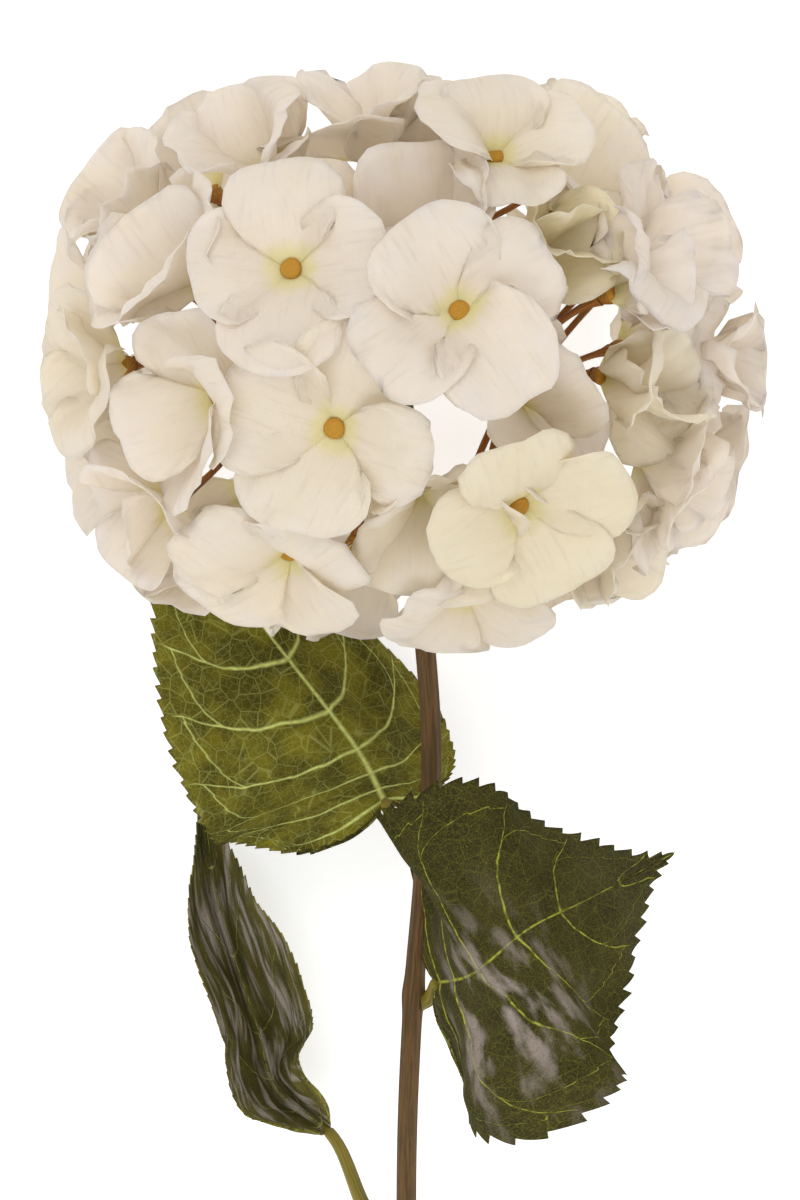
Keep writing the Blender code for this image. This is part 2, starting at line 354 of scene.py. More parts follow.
@dataclass(frozen=True)
class PetalFinish(Finish):
    """Thin woven silk: creamy white, yellow-green in the throat and faintly pink at the rim."""

    name: str = "petal_silk"
    roughness: float = 0.8
    specular: float = 0.15
    sheen: float = 0.15
    glow: float = 0.5
    throat: Colour = (0.93, 0.88, 0.48)
    body: Colour = (0.96, 0.90, 0.82)
    rim: Colour = (0.96, 0.91, 0.88)
    warm: Colour = (0.95, 0.89, 0.62)
    # Along the petal, in millimetres: where the throat's tint ends and the rim's comes in.
    throat_from: float = 2.0
    throat_reach: float = 8.0
    throat_strength: float = 0.75
    rim_from: float = 13.0
    rim_reach: float = 27.0
    warmth: float = 0.9
    # Painted shade along the fine radial creases: its colour and strength, and how fine the creases are
    # across and along.
    streak: Colour = (0.62, 0.52, 0.44)
    crease_shade_strength: float = 0.14
    crease_across: float = 0.55
    crease_along: float = 0.06
    blotch: float = 0.09
    # The weave: millimetres from thread to thread, and how deep it is.
    thread: float = 0.55
    weave_depth: float = 0.12 * MM

    def surface(self, write: Writer) -> tuple[object, object]:
        """The petal's colour, with painted shade in its creases, and its weave.

        Args:
            write: the writer for the material's tree.

        Returns:
            The base colour and the normal.
        """
        cloth = write.attribute("cloth")
        across, along, tone = write.parts(cloth)
        streaks = write.vector(across * self.crease_across, along * self.crease_along, tone)
        streak = write.noise(streaks, 1.6, 3.0)
        blotches = write.vector(across * self.blotch, along * self.blotch, tone)
        blotch = write.noise(blotches, 1.2)
        edge = (along + (across.math("ABSOLUTE") * 0.35)).ramp(self.rim_from, self.rim_reach)
        colour = write.blend(edge * blotch.ramp(0.3, 0.7), self.body, self.rim)
        colour = write.blend(tone.math("FRACT") * self.warmth, colour, self.warm)
        throat = 1 - (along + (across.math("ABSOLUTE") * 0.3) - (streak * 4.0)).ramp(
            self.throat_from, self.throat_reach
        )
        colour = write.blend(throat * self.throat_strength, colour, self.throat)
        # Painted shade: darker along the fine radial creases.
        shade = write.blend(self.crease_shade_strength, colour, self.streak)
        colour = write.blend(streak.ramp(0.52, 0.75), colour, shade)
        turn = 2 * math.pi / self.thread
        warp = (across * turn).math("SINE") * 0.5
        weft = (along * turn).math("SINE") * 0.5
        height = (warp * weft) + (streak * 1.6) + 0.5
        return colour, write.relief(height, self.weave_depth)


@dataclass(frozen=True)
class EyeFinish(Finish):
    """The ochre button in a floret's middle: granular, browner down its side."""

    name: str = "floret_eye"
    roughness: float = 0.75
    top: Colour = (0.47, 0.225, 0.020)
    side: Colour = (0.24, 0.085, 0.010)
    grit: Colour = (0.55, 0.31, 0.045)
    grit_strength: float = 0.5
    grain: float = 2600.0
    grain_depth: float = 0.3 * MM
    # How high up the eye, in millimetres, its side's colour gives way to its top's.
    side_from: float = 1.0
    side_reach: float = 3.2

    def surface(self, write: Writer) -> tuple[object, object]:
        """The eye's colour and grain.

        Args:
            write: the writer for the material's tree.

        Returns:
            The base colour and the normal.
        """
        place = write.node("ShaderNodeTexCoord").outputs["Object"]
        _, _, height = write.parts(write.attribute("cloth"))
        grain = write.noise(place, self.grain)
        colour = write.blend(height.ramp(self.side_from, self.side_reach), self.side, self.top)
        colour = write.blend(grain.ramp(0.35, 0.7) * self.grit_strength, colour, self.grit)
        return colour, write.relief(grain, self.grain_depth)


@dataclass(frozen=True)
class StripedFinish(Finish):
    """A stalk's finish: two colours in long streaks that follow the stalk."""

    first: Colour = (0.3, 0.2, 0.1)
    second: Colour = (0.2, 0.1, 0.05)
    stripe: Colour = (0.2, 0.2, 0.1)
    stripe_share: float = 0.0
    stripe_turn: float = 2.3
    streaks: float = 9.0
    streak_stretch: float = 18.0
    groove: Colour = (0.03, 0.015, 0.008)
    groove_strength: float = 0.45
    groove_depth: float = 0.5 * MM

    def surface(self, write: Writer) -> tuple[object, object]:
        """The stalk's streaks and fine grooves.

        Args:
            write: the writer for the material's tree.

        Returns:
            The base colour and the normal.
        """
        around, along, _ = write.parts(write.attribute("course"))
        turn = around * (2 * math.pi)
        ring = write.vector(turn.math("SINE"), turn.math("COSINE"), along * self.streak_stretch)
        streak = write.noise(ring, self.streaks * 0.35, 4.0)
        fine = write.noise(ring, self.streaks, 3.0)
        colour = write.blend(streak.ramp(0.38, 0.62), self.first, self.second)
        lit = (turn - self.stripe_turn).math("COSINE").ramp(0.72, 0.95) * self.stripe_share
        colour = write.blend(lit, colour, self.stripe)
        dark = write.blend(self.groove_strength, colour, self.groove)
        colour = write.blend(fine.ramp(0.55, 0.8), colour, dark)
        return colour, write.relief(fine, self.groove_depth)


@dataclass(frozen=True)
class LeafFinish(Finish):
    """One side of a leaf: a ground colour under a net of main, side and fine veins."""

    ground: Colour = (0.05, 0.055, 0.018)
    mottle: Colour = (0.03, 0.035, 0.012)
    vein: Colour = (0.33, 0.40, 0.08)
    # The veins: their width in millimetres, how strongly they and their net are coloured, how
    # far they stand out, how many side veins there are, and how much they break into beads.
    vein_width: float = 0.42
    vein_strength: float = 0.8
    net_strength: float = 0.4
    raised: float = 1.0
    side_veins: float = 7.5
    beading: float = 0.0
    first_vein: float = 0.13
    vein_wander: float = 0.22
    vein_taper: float = 0.6
    spread_out: float = 17.0
    spread_root: float = 16.0
    # The arches that join the side veins: their least share of the way out, what they add to
    # it, the power of their curve, and the blade's half width in millimetres.
    arch_low: float = 0.66
    arch_rise: float = 0.24
    arch_power: float = 0.45
    half_width: float = 42.0
    # The midrib's width at the blade's base, and how much it thins in each millimetre.
    midrib_width: float = 1.3
    midrib_thins: float = 0.009
    web_grain: float = 0.20
    mesh_grain: float = 0.52
    mottle_grain: float = 0.10
    weave_grain: float = 2.6
    bead_grain: float = 0.55
    relief_depth: float = 0.4 * MM
    # Painted sheen, pale highlight streaks in the colour: its strength, tint, fineness across and
    # along, and the spot that it lies round, across and along in millimetres, with its reach.
    painted_sheen: float = 0.0
    painted_sheen_tint: Colour = (0.25, 0.20, 0.175)
    painted_sheen_grain: tuple[float, float] = (0.035, 0.16)
    painted_sheen_spot: tuple[float, float, float] = (0.0, 45.0, 200.0)
    # Painted shade in soft folds: its strength, and its fineness across and along.
    painted_fold_shade: float = 0.0
    fold_grain: tuple[float, float] = (0.035, 0.13)
    fold_slant: float = 0.03

    def surface(self, write: Writer) -> tuple[object, object]:
        """The leaf's ground, veins and woven grain, with painted fold shade and a painted sheen.

        Args:
            write: the writer for the material's tree.

        Returns:
            The base colour and the normal.
        """
        x, y, half = write.parts(write.attribute("blade"))
        place = write.vector(x, y, half)
        main = self.main_veins(write, x, y, place)
        web = 1 - write.cells(place, self.web_grain).ramp(0.0, 0.045)
        mesh = 1 - write.cells(place, self.mesh_grain).ramp(0.0, 0.09)
        net = web.math("MAXIMUM", mesh * 0.5)
        mottle = write.noise(place, self.mottle_grain, 4.0)
        weave = write.noise(place, self.weave_grain, 2.0)
        colour = write.blend(mottle.ramp(0.35, 0.65), self.ground, self.mottle)
        bright = write.blend(0.35, colour, self.vein)
        colour = write.blend(weave.ramp(0.45, 0.8) * 0.5, colour, bright)
        # Painted shade: the colour darkens towards the mottle colour along soft folds.
        fold_across, fold_along = self.fold_grain
        creases = write.vector((x * fold_across) + (y * self.fold_slant), y * fold_along, half)
        fold = write.noise(creases, 1.0).ramp(0.52, 0.68)
        colour = write.blend(fold * self.painted_fold_shade, colour, self.mottle)
        colour = write.blend(net * self.net_strength, colour, self.vein)
        gaps = 1 - write.noise(place, self.bead_grain).ramp(0.40, 0.58)
        shown = main * self.vein_strength * (1 - (gaps * self.beading))
        colour = write.blend(shown, colour, self.vein)
        # Painted sheen: the colour is drawn to a pale tint in streaks round one spot, in place of
        # highlights on the cloth.
        sheen_across, sheen_along = self.painted_sheen_grain
        streak = write.noise(write.vector(x * sheen_across, y * sheen_along, half), 1.0, 3.0)
        spot_x, spot_y, spot_reach = self.painted_sheen_spot
        away = (((x - spot_x) ** 2) + ((y - spot_y) ** 2)).math("SQRT")
        lit = streak.ramp(0.47, 0.66) * weave.ramp(0.1, 0.5) * away.bump(spot_reach) * self.painted_sheen
        colour = write.blend(lit, colour, self.painted_sheen_tint)
        height = (main * self.raised) + (net * 0.35 * self.raised) + (weave * 0.3)
        return colour, write.relief(height, self.relief_depth)

    def main_veins(self, write: Writer, x: Term, y: Term, place: Term) -> Term:
        """The midrib, the side veins and the arches that join their ends.

        Args:
            write: the writer for the material's tree.
            x: millimetres from the midrib, signed.
            y: millimetres along the midrib.
            place: the two together, for noise.

        Returns:
            1 on a vein and 0 off it.
        """
        rank, out, _ = write.parts(write.attribute("veining"))
        wobble = write.noise(place, 0.09) - 0.5
        phase = ((rank - self.first_vein) * self.side_veins) + (wobble * self.vein_wander)
        nearest = ((phase + 0.5).math("FRACT") - 0.5).math("ABSOLUTE")
        rooted = ((rank - 0.2).math("MAXIMUM", 0.0) + 0.004) ** 0.45
        spacing = (out * self.spread_out) + ((1 - out) * rooted * self.spread_root)
        taper = 1 - (out * self.vein_taper)
        side = (nearest * spacing).bump(taper * self.vein_width * 1.8)
        side = side * (1 - out.ramp(0.90, 0.97))
        part = phase.math("FRACT").math("MAXIMUM", 0.02)
        arch = (part**self.arch_power) * self.arch_rise + self.arch_low
        steep = (((part ** (self.arch_power - 1)) * 0.3) ** 2 + 1).math("SQRT")
        loop = ((out - arch) * self.half_width / steep).bump(self.vein_width * 0.9) * 0.8
        side = side.math("MAXIMUM", loop)
        thick = self.midrib_width - (y * self.midrib_thins)
        middle = x.math("ABSOLUTE").bump(thick * self.vein_width * 2.2)
        return side.math("MAXIMUM", middle)


@dataclass(frozen=True)
class FloorFinish(Finish):
    """The plain pale surface that the flower lies on."""

    name: str = "floor_white"
    roughness: float = 0.9
    specular: float = 0.0
    lit: float = 0.55
    pale: Colour = (0.75, 0.75, 0.75)

    def surface(self, write: Writer) -> tuple[object, object]:
        """The floor's even colour and near-invisible grain.

        Args:
            write: the writer for the material's tree.

        Returns:
            The base colour and the normal.
        """
        grain = write.noise(write.node("ShaderNodeTexCoord").outputs["Object"], 40.0)
        return (*self.pale, 1), write.relief(grain, 0.00001)


PETAL = PetalFinish()
EYE = EyeFinish()
PEDICEL = StripedFinish(
    name="pedicel_ochre", roughness=0.5, first=(0.42, 0.17, 0.022), second=(0.24, 0.065, 0.014),
    stripe=(0.52, 0.30, 0.05), stripe_share=0.5,
)
RAY = StripedFinish(
    name="ray_ochre", roughness=0.5, first=(0.44, 0.20, 0.03), second=(0.20, 0.05, 0.012),
    stripe=(0.50, 0.30, 0.06), stripe_share=0.4,
)
STEM = StripedFinish(
    name="stem_brown", roughness=0.55, first=(0.16, 0.082, 0.022), second=(0.092, 0.050, 0.014),
    stripe=(0.11, 0.10, 0.035), stripe_share=0.7, streaks=12.0,
)
STALK = StripedFinish(
    name="stalk_olive", roughness=0.5, first=(0.30, 0.22, 0.02), second=(0.17, 0.15, 0.02),
    stripe=(0.36, 0.25, 0.03), stripe_share=0.5,
)
# The upper side, with a painted sheen in pale streaks round one spot.
LEAF_UPPER = LeafFinish(
    name="leaf_upper", roughness=0.75, specular=0.1,
    ground=(0.042, 0.034, 0.009), mottle=(0.026, 0.022, 0.006), vein=(0.42, 0.43, 0.05),
    vein_width=0.25, vein_strength=1.0, net_strength=0.10, raised=-0.8, beading=0.70,
    painted_sheen=1.0, painted_sheen_tint=(0.33, 0.27, 0.235), painted_sheen_grain=(0.07, 0.15),
    painted_sheen_spot=(14.0, 28.0, 44.0),
)
# A copy of the upper side with its ground painted lighter, to make up for the shade that the steeply
# folded leaf lies in, and with a strong painted sheen.
LEAF_UPPER_PAINTED_LIGHT = replace(
    LEAF_UPPER, name="leaf_upper_painted_light", ground=(0.125, 0.105, 0.026), mottle=(0.070, 0.064, 0.018),
    vein=(0.42, 0.42, 0.10), painted_sheen=0.95, painted_sheen_tint=(0.50, 0.43, 0.38),
    painted_sheen_grain=(0.30, 0.045), painted_sheen_spot=(0.0, 45.0, 200.0),
)
# The underside, with painted shade in soft folds.
LEAF_UNDER = LeafFinish(
    name="leaf_under", roughness=0.8, specular=0.1, glow=0.1,
    ground=(0.185, 0.160, 0.010), mottle=(0.070, 0.058, 0.005), vein=(0.72, 0.78, 0.23),
    vein_width=0.50, vein_strength=1.0, net_strength=0.24, raised=1.0, beading=0.25, painted_fold_shade=0.7,
    side_veins=9.5,
)


# ----------------------------------------------------------------- shared making


def unit(vector: Array) -> Array:
    """The vector, or each of the vectors, at length 1."""
    return vector / np.maximum(np.linalg.norm(vector, axis=-1, keepdims=True), 1e-12)


def direction(longitude: float, latitude: float) -> Array:
    """The way from the head's middle to a place on the head.

    Args:
        longitude: degrees round the stem's line, from straight up towards +X.
        latitude: degrees towards the head's crown.

    Returns:
        The unit vector.
    """
    lon, lat = math.radians(longitude), math.radians(latitude)
    return np.array(
        (math.cos(lat) * math.sin(lon), math.sin(lat), math.cos(lat) * math.cos(lon))
    )


def frame_about(axis: Array) -> tuple[Array, Array]:
    """The directions right and up, seen along an axis from outside the head."""
    up = unit(np.array((0.0, 1.0, 0.0)) - axis * axis[1])
    return np.cross(up, axis), up


def leaning(axis: Array, right_lean: float, up_lean: float) -> Array:
    """The axis tipped to the right and up by two angles in degrees."""
    right, up = frame_about(axis)
    sideways = right * math.tan(math.radians(right_lean))
    return unit(axis + sideways + up * math.tan(math.radians(up_lean)))


def through(points: Sequence[Sequence[float]], count: int) -> Array:
    """Evenly shared points on a smooth curve through the given ones.

    Args:
        points: the points that the curve goes through.
        count: how many points to give.

    Returns:
        The points, one in each row.
    """
    known = np.asarray(points, float)
    padded = np.vstack((2 * known[0] - known[1], known, 2 * known[-1] - known[-2]))
    place = np.linspace(0, len(known) - 1, count)
    span = np.minimum(place.astype(int), len(known) - 2)
    t = (place - span)[:, None]
    a, b, c, d = (padded[span + step] for step in range(4))
    return 0.5 * (
        2 * b + (c - a) * t + (2 * a - 5 * b + 4 * c - d) * t**2
        + (3 * b - a - 3 * c + d) * t**3
    )


def bezier(ends: Sequence[Array], count: int) -> Array:
    """Points along a cubic curve.

    Args:
        ends: its two ends with a handle after the first and before the second.
        count: how many points to give.

    Returns:
        The points, one in each row.
    """
    t = np.linspace(0, 1, count)[:, None]
    a, b, c, d = ends
    return a * (1 - t) ** 3 + 3 * b * t * (1 - t) ** 2 + 3 * c * t**2 * (1 - t) + d * t**3


def solid_points(node: str) -> Array:
    """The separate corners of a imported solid.

    Args:
        node: the solid's name.

    Returns:
        The corners, one in each row.
    """
    corners = np.array([tuple(vert.co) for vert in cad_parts[node].data.vertices])
    return np.unique(np.round(corners, 6), axis=0)


def mesh_of(name: str, points: Array, faces: Iterable[Sequence[int]]) -> bpy.types.Mesh:
    """A mesh, shaded smooth.

    Args:
        name: its name.
        points: its corners, one in each row.
        faces: each face's corners.

    Returns:
        The mesh.
    """
    made = bpy.data.meshes.new(name)
    made.from_pydata([tuple(point) for point in points], [], [list(face) for face in faces])
    made.shade_smooth()
    return made


def store(mesh: bpy.types.Mesh, name: str, values: Array) -> None:
    """Keeps a vector for each corner of the mesh, for its finish to read.

    Args:
        mesh: the mesh.
        name: the attribute's name.
        values: one row of three for each corner.
    """
    layer = mesh.attributes.new(name, "FLOAT_VECTOR", "POINT")
    layer.data.foreach_set("vector", np.asarray(values, np.float32).ravel())


def link(name: str, data: object) -> bpy.types.Object:
    """A new object in the scene."""
    made = bpy.data.objects.new(name, data)
    bpy.context.scene.collection.objects.link(made)
    return made


def grid_faces(rows: int, columns: int, wrap: bool = False) -> list[tuple[int, ...]]:
    """The four-sided faces of a grid of corners that are numbered row by row.

    Args:
        rows: how many rows of corners there are.
        columns: how many corners each row has.
        wrap: whether each row closes on itself.

    Returns:
        The faces.
    """
    last = columns if wrap else columns - 1
    return [
        (
            row * columns + col,
            row * columns + (col + 1) % columns,
            (row + 1) * columns + (col + 1) % columns,
            (row + 1) * columns + col,
        )
        for row in range(rows - 1)
        for col in range(last)
    ]


def settle(points: Array, soft: float = 3 * MM) -> Array:
    """Bends what would go through the surface up, so that it lies on it.

    Args:
        points: the points, one in each row.
        soft: the height below which they start to bend.

    Returns:
        The points, none of them below the surface.
    """
    low = points[:, 2] < soft
    points[low, 2] = soft * np.exp((points[low, 2] - soft) / soft)
    return points


def grown(piece: bpy.types.Object, tree: bpy.types.NodeTree, sizes: dict) -> bpy.types.Mesh:
    """Runs a Geometry Nodes tree on a piece, and gives the plain mesh that it makes.

    Args:
        piece: the object that the tree works on. It is removed.
        tree: the tree.
        sizes: the tree's inputs by name.

    Returns:
        The mesh.
    """
    modifier = piece.modifiers.new(tree.name, "NODES")
    modifier.node_group = tree
    for item in tree.interface.items_tree:
        if item.item_type == "SOCKET" and item.in_out == "INPUT" and item.name in sizes:
            modifier[item.identifier] = sizes[item.name]
    graph = bpy.context.evaluated_depsgraph_get()
    made = bpy.data.meshes.new_from_object(piece.evaluated_get(graph))
    bpy.data.objects.remove(piece)
    return made


def joined(name: str, meshes: Sequence[bpy.types.Mesh]) -> bpy.types.Object:
    """Several meshes as one object, with all their finishes and attributes.

    Args:
        name: the object's name.
        meshes: the meshes.

    Returns:
        The object.
    """
    objects = [link(name if place == 0 else f"{name}_{place}", mesh)
               for place, mesh in enumerate(meshes)]
    with bpy.context.temp_override(
        active_object=objects[0], selected_objects=objects, selected_editable_objects=objects
    ):
        bpy.ops.object.join()
    objects[0].data.name = name
    return objects[0]


def hand_over(piece: bpy.types.Object) -> None:
    """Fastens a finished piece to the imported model, in place of the solid of its name.

    Args:
        piece: the finished piece, named look_ and then its solid's name.
    """
    node = piece.name.removeprefix("look_")
    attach(piece, BODY)
    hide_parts(node)
    LOG.info("%s: %d faces", piece.name, len(piece.data.polygons))


def add_sockets(tree: bpy.types.NodeTree, wanted: Sequence[tuple[str, str, object]]) -> None:
    """Gives a Geometry Nodes tree its inputs and its one output.

    Args:
        tree: the tree.
        wanted: each input's name, socket type and usual value.
    """
    tree.interface.new_socket("Geometry", in_out="INPUT", socket_type="NodeSocketGeometry")
    for name, kind, usual in wanted:
        made = tree.interface.new_socket(name, in_out="INPUT", socket_type=kind)
        if usual is not None:
            made.default_value = usual
    tree.interface.new_socket("Geometry", in_out="OUTPUT", socket_type="NodeSocketGeometry")


# ------------------------------------------------------------- stalks and stems


@dataclass
class StalkMaker:
    """Sweeps a ribbed round section along a line, as thick as each point of it says."""

    tree: bpy.types.NodeTree = field(init=False)

    def __post_init__(self) -> None:
        """Writes the tree."""
        self.tree = bpy.data.node_groups.new("swept_stalk", "GeometryNodeTree")
        add_sockets(
            self.tree,
            (
                ("Sides", "NodeSocketInt", 12),
                ("Ribs", "NodeSocketFloat", 0.0),
                ("Rib Depth", "NodeSocketFloat", 0.0),
                ("Finish", "NodeSocketMaterial", None),
            ),
        )
        write = Writer(self.tree)
        given = write.node("NodeGroupInput")
        circle = write.node(
            "GeometryNodeCurvePrimitiveCircle", {"Resolution": given.outputs["Sides"]}
        )
        index = write.term(write.node("GeometryNodeInputIndex").outputs[0])
        around = index / write.term(given.outputs["Sides"])
        x, y, _ = write.parts(write.node("GeometryNodeInputPosition").outputs[0])
        turn = around * write.term(given.outputs["Ribs"]) * (2 * math.pi)
        swell = 1 + (turn.math("COSINE") * write.term(given.outputs["Rib Depth"]))
        named = write.node(
            "GeometryNodeStoreNamedAttribute",
            {"Geometry": circle.outputs["Curve"], "Name": "around", "Value": around},
            data_type="FLOAT", domain="POINT",
        )
        section = write.node(
            "GeometryNodeSetPosition",
            {"Geometry": named.outputs[0], "Position": write.vector(x * swell, y * swell, 0.0)},
        )
        length = write.node("GeometryNodeSplineParameter").outputs["Length"]
        line = write.node(
            "GeometryNodeStoreNamedAttribute",
            {"Geometry": given.outputs["Geometry"], "Name": "along", "Value": length},
            data_type="FLOAT", domain="POINT",
        )
        swept = write.node(
            "GeometryNodeCurveToMesh",
            {"Curve": line.outputs[0], "Profile Curve": section.outputs[0], "Fill Caps": True},
        )
        if "Scale" in swept.inputs:
            radius = write.node("GeometryNodeInputRadius").outputs[0]
            feed(self.tree, radius, swept.inputs["Scale"])
        read = [
            write.term(write.node(
                "GeometryNodeInputNamedAttribute", {"Name": name}, data_type="FLOAT"
            ).outputs["Attribute"])
            for name in ("around", "along")
        ]
        course = write.node(
            "GeometryNodeStoreNamedAttribute",
            {"Geometry": swept.outputs[0], "Name": "course", "Value": write.vector(*read, 0.0)},
            data_type="FLOAT_VECTOR", domain="POINT",
        )
        real = write.node("GeometryNodeRealizeInstances", {"Geometry": course.outputs[0]})
        dressed = write.node(
            "GeometryNodeSetMaterial",
            {"Geometry": real.outputs[0], "Material": given.outputs["Finish"]},
        )
        output = write.node("NodeGroupOutput")
        write.tree.links.new(dressed.outputs[0], output.inputs[0])

    def sweep(
        self, points: Array, radii: Sequence[float], finish: Finish,
        sides: int = 12, ribs: int = 0, rib_depth: float = 0.0,
    ) -> bpy.types.Mesh:
        """Makes one stalk.

        Args:
            points: the line that it follows.
            radii: how thick it is at each point.
            finish: its finish.
            sides: how many sides its section has.
            ribs: how many ribs run along it.
            rib_depth: the ribs' height, as a share of its thickness.

        Returns:
            The stalk's mesh.
        """
        line = bpy.data.curves.new("line", "CURVE")
        line.dimensions = "3D"
        spline = line.splines.new("POLY")
        spline.points.add(len(points) - 1)
        spline.points.foreach_set("co", np.column_stack((points, np.ones(len(points)))).ravel())
        spline.points.foreach_set("radius", np.asarray(radii, float))
        sizes = {"Sides": sides, "Ribs": float(ribs), "Rib Depth": rib_depth}
        made = grown(link("line", line), self.tree, {**sizes, "Finish": finish.material()})
        made.shade_smooth()
        made.set_sharp_from_angle(angle=math.radians(50))
        return made


# ---------------------------------------------------------------------- florets


class Opening(Enum):
    """How a floret's petals are shaped: how far they bend back, and how wavy they are."""

    FLAT = (0.25, 0.8)
    OPEN = (0.60, 1.1)
    CUPPED = (0.15, 1.0)
    WAVY = (0.85, 1.7)


@dataclass
class PetalMaker:
    """Grows a whorl of thin petals round a floret's middle."""

    class Draw(Enum):
        """What each of a petal's random draws is for."""

        WIDTH = 1
        LENGTH = 2
        RISE = 3
        BEND = 4
        BOW = 5
        RIM = 6
        PLACE = 7
        STEEP = 8
        TWIST = 9

    rows: int = 15
    columns: int = 19
    half_angle: float = 0.89
    thickness: float = 0.22 * MM
    # The outline, as shares of the length: how far the corners and the whole end are drawn in,
    # the dimple in the middle of the end, and how uneven it is.
    corner: float = 0.42
    rounding: float = 0.06
    dimple: float = 0.03
    uneven: float = 0.24
    # How much one petal of a whorl differs from the next.
    width_varies: float = 0.20
    length_varies: float = 0.11
    rise_varies: float = 0.22
    bend_varies: float = 0.45
    steep_varies: float = 1.25
    twist_varies: float = 0.34
    place_varies: float = 0.16
    seldom_steep: float = 0.30
    steep_bend: float = 0.9
    draw_step: int = 16
    # Shares of the length: where a petal starts, how straight its end bends, where its rim's
    # turn starts, and the width of the dimple as a share of the half width.
    root: float = 0.04
    straight: float = 0.65
    rim_from: float = 0.74
    dimple_width: float = 0.35
    # The ruffles in millimetres: a slow swell, a finer crimp, and the rim's own turn. The
    # grains are how fine they are across and along, how far apart in the noise, and its scale.
    swell: float = 17.0
    swell_grain: tuple[float, float, int, float] = (1.0, 1.2, 40, 1.3)
    crimp: float = 9.0
    crimp_grain: tuple[float, float, int, float] = (2.4, 1.5, 80, 1.7)
    uneven_grain: float = 1.5
    rim_turn: float = 2.4
    rim_middle: float = 0.45
    # How much a petal is cupped across, the groove down its middle, how it slants to lie over
    # the next petal, and how far it starts above the neck, in millimetres.
    cupped: float = 0.45
    bow: float = 0.016
    groove_width: float = 1.6
    groove_depth: float = 0.35
    overlap: float = 0.08
    above_neck: float = 0.5
    tree: bpy.types.NodeTree = field(init=False)

    def __post_init__(self) -> None:
        """Writes the tree."""
        self.tree = bpy.data.node_groups.new("petal_whorl", "GeometryNodeTree")
        add_sockets(
            self.tree,
            (
                ("Petals", "NodeSocketInt", 4),
                ("Length", "NodeSocketFloat", 26.0),
                ("Rise", "NodeSocketFloat", 0.4),
                ("Bend", "NodeSocketFloat", 0.5),
                ("Ruffle", "NodeSocketFloat", 1.0),
                ("Spread", "NodeSocketFloat", 1.0),
                ("Tone", "NodeSocketFloat", 0.0),
                ("Seed", "NodeSocketInt", 0),
                ("Finish", "NodeSocketMaterial", None),
            ),
        )
        write = Writer(self.tree)
        given = write.node("NodeGroupInput")
        size = {name: write.term(given.outputs[name]) for name in (
            "Petals", "Length", "Rise", "Bend", "Ruffle", "Spread", "Tone", "Seed"
        )}
        blade = write.node(
            "GeometryNodeMeshGrid",
            {"Size X": 1.0, "Size Y": 1.0, "Vertices X": self.columns, "Vertices Y": self.rows},
        )
        ring = write.node(
            "GeometryNodeMeshLine", {"Count": given.outputs["Petals"], "Offset": (0, 0, 0)}
        )
        index = write.node("GeometryNodeInputIndex").outputs[0]
        named = write.node(
            "GeometryNodeStoreNamedAttribute",
            {"Geometry": ring.outputs[0], "Name": "petal", "Value": index},
            data_type="FLOAT", domain="POINT",
        )
        placed = write.node(
            "GeometryNodeInstanceOnPoints",
            {"Points": named.outputs[0], "Instance": blade.outputs["Mesh"]},
        )
        real = write.node("GeometryNodeRealizeInstances", {"Geometry": placed.outputs[0]})
        petal = write.term(write.node(
            "GeometryNodeInputNamedAttribute", {"Name": "petal"}, data_type="FLOAT"
        ).outputs["Attribute"])
        flat, place = self.petal_shape(write, size, petal)
        cloth = write.node(
            "GeometryNodeStoreNamedAttribute",
            {"Geometry": real.outputs[0], "Name": "cloth", "Value": flat},
            data_type="FLOAT_VECTOR", domain="POINT",
        )
        shaped = write.node(
            "GeometryNodeSetPosition", {"Geometry": cloth.outputs[0], "Position": place}
        )
        dressed = write.node(
            "GeometryNodeSetMaterial",
            {"Geometry": shaped.outputs[0], "Material": given.outputs["Finish"]},
        )
        output = write.node("NodeGroupOutput")
        write.tree.links.new(dressed.outputs[0], output.inputs[0])

    def petal_shape(self, write: Writer, size: dict[str, Term], petal: Term) -> tuple[Term, Term]:
        """The petal's rule: from a place on a flat grid to a place on the petal.

        Args:
            write: the writer for the tree.
            size: the tree's sizes by name, in millimetres.
            petal: which petal of the whorl it is.

        Returns:
            Where the place is on the petal laid flat, with the petal's tone, and where it is
            on the grown petal, in metres.
        """

        def chance(draw: PetalMaker.Draw) -> Term:
            """A number from -1 to 1 that is the same all over one petal.

            Args:
                draw: what it is for.

            Returns:
                The number.
            """
            ident = (petal + (draw.value * self.draw_step)).math("ROUND")
            made = write.node("FunctionNodeRandomValue", {"Seed": size["Seed"]}, data_type="FLOAT")
            for socket in made.inputs:
                if socket.enabled and socket.name == "Min":
                    socket.default_value = -1.0
                if socket.enabled and socket.name == "Max":
                    socket.default_value = 1.0
                if socket.enabled and socket.name == "ID":
                    feed(write.tree, ident, socket)
            return write.term(next(out for out in made.outputs if out.enabled))

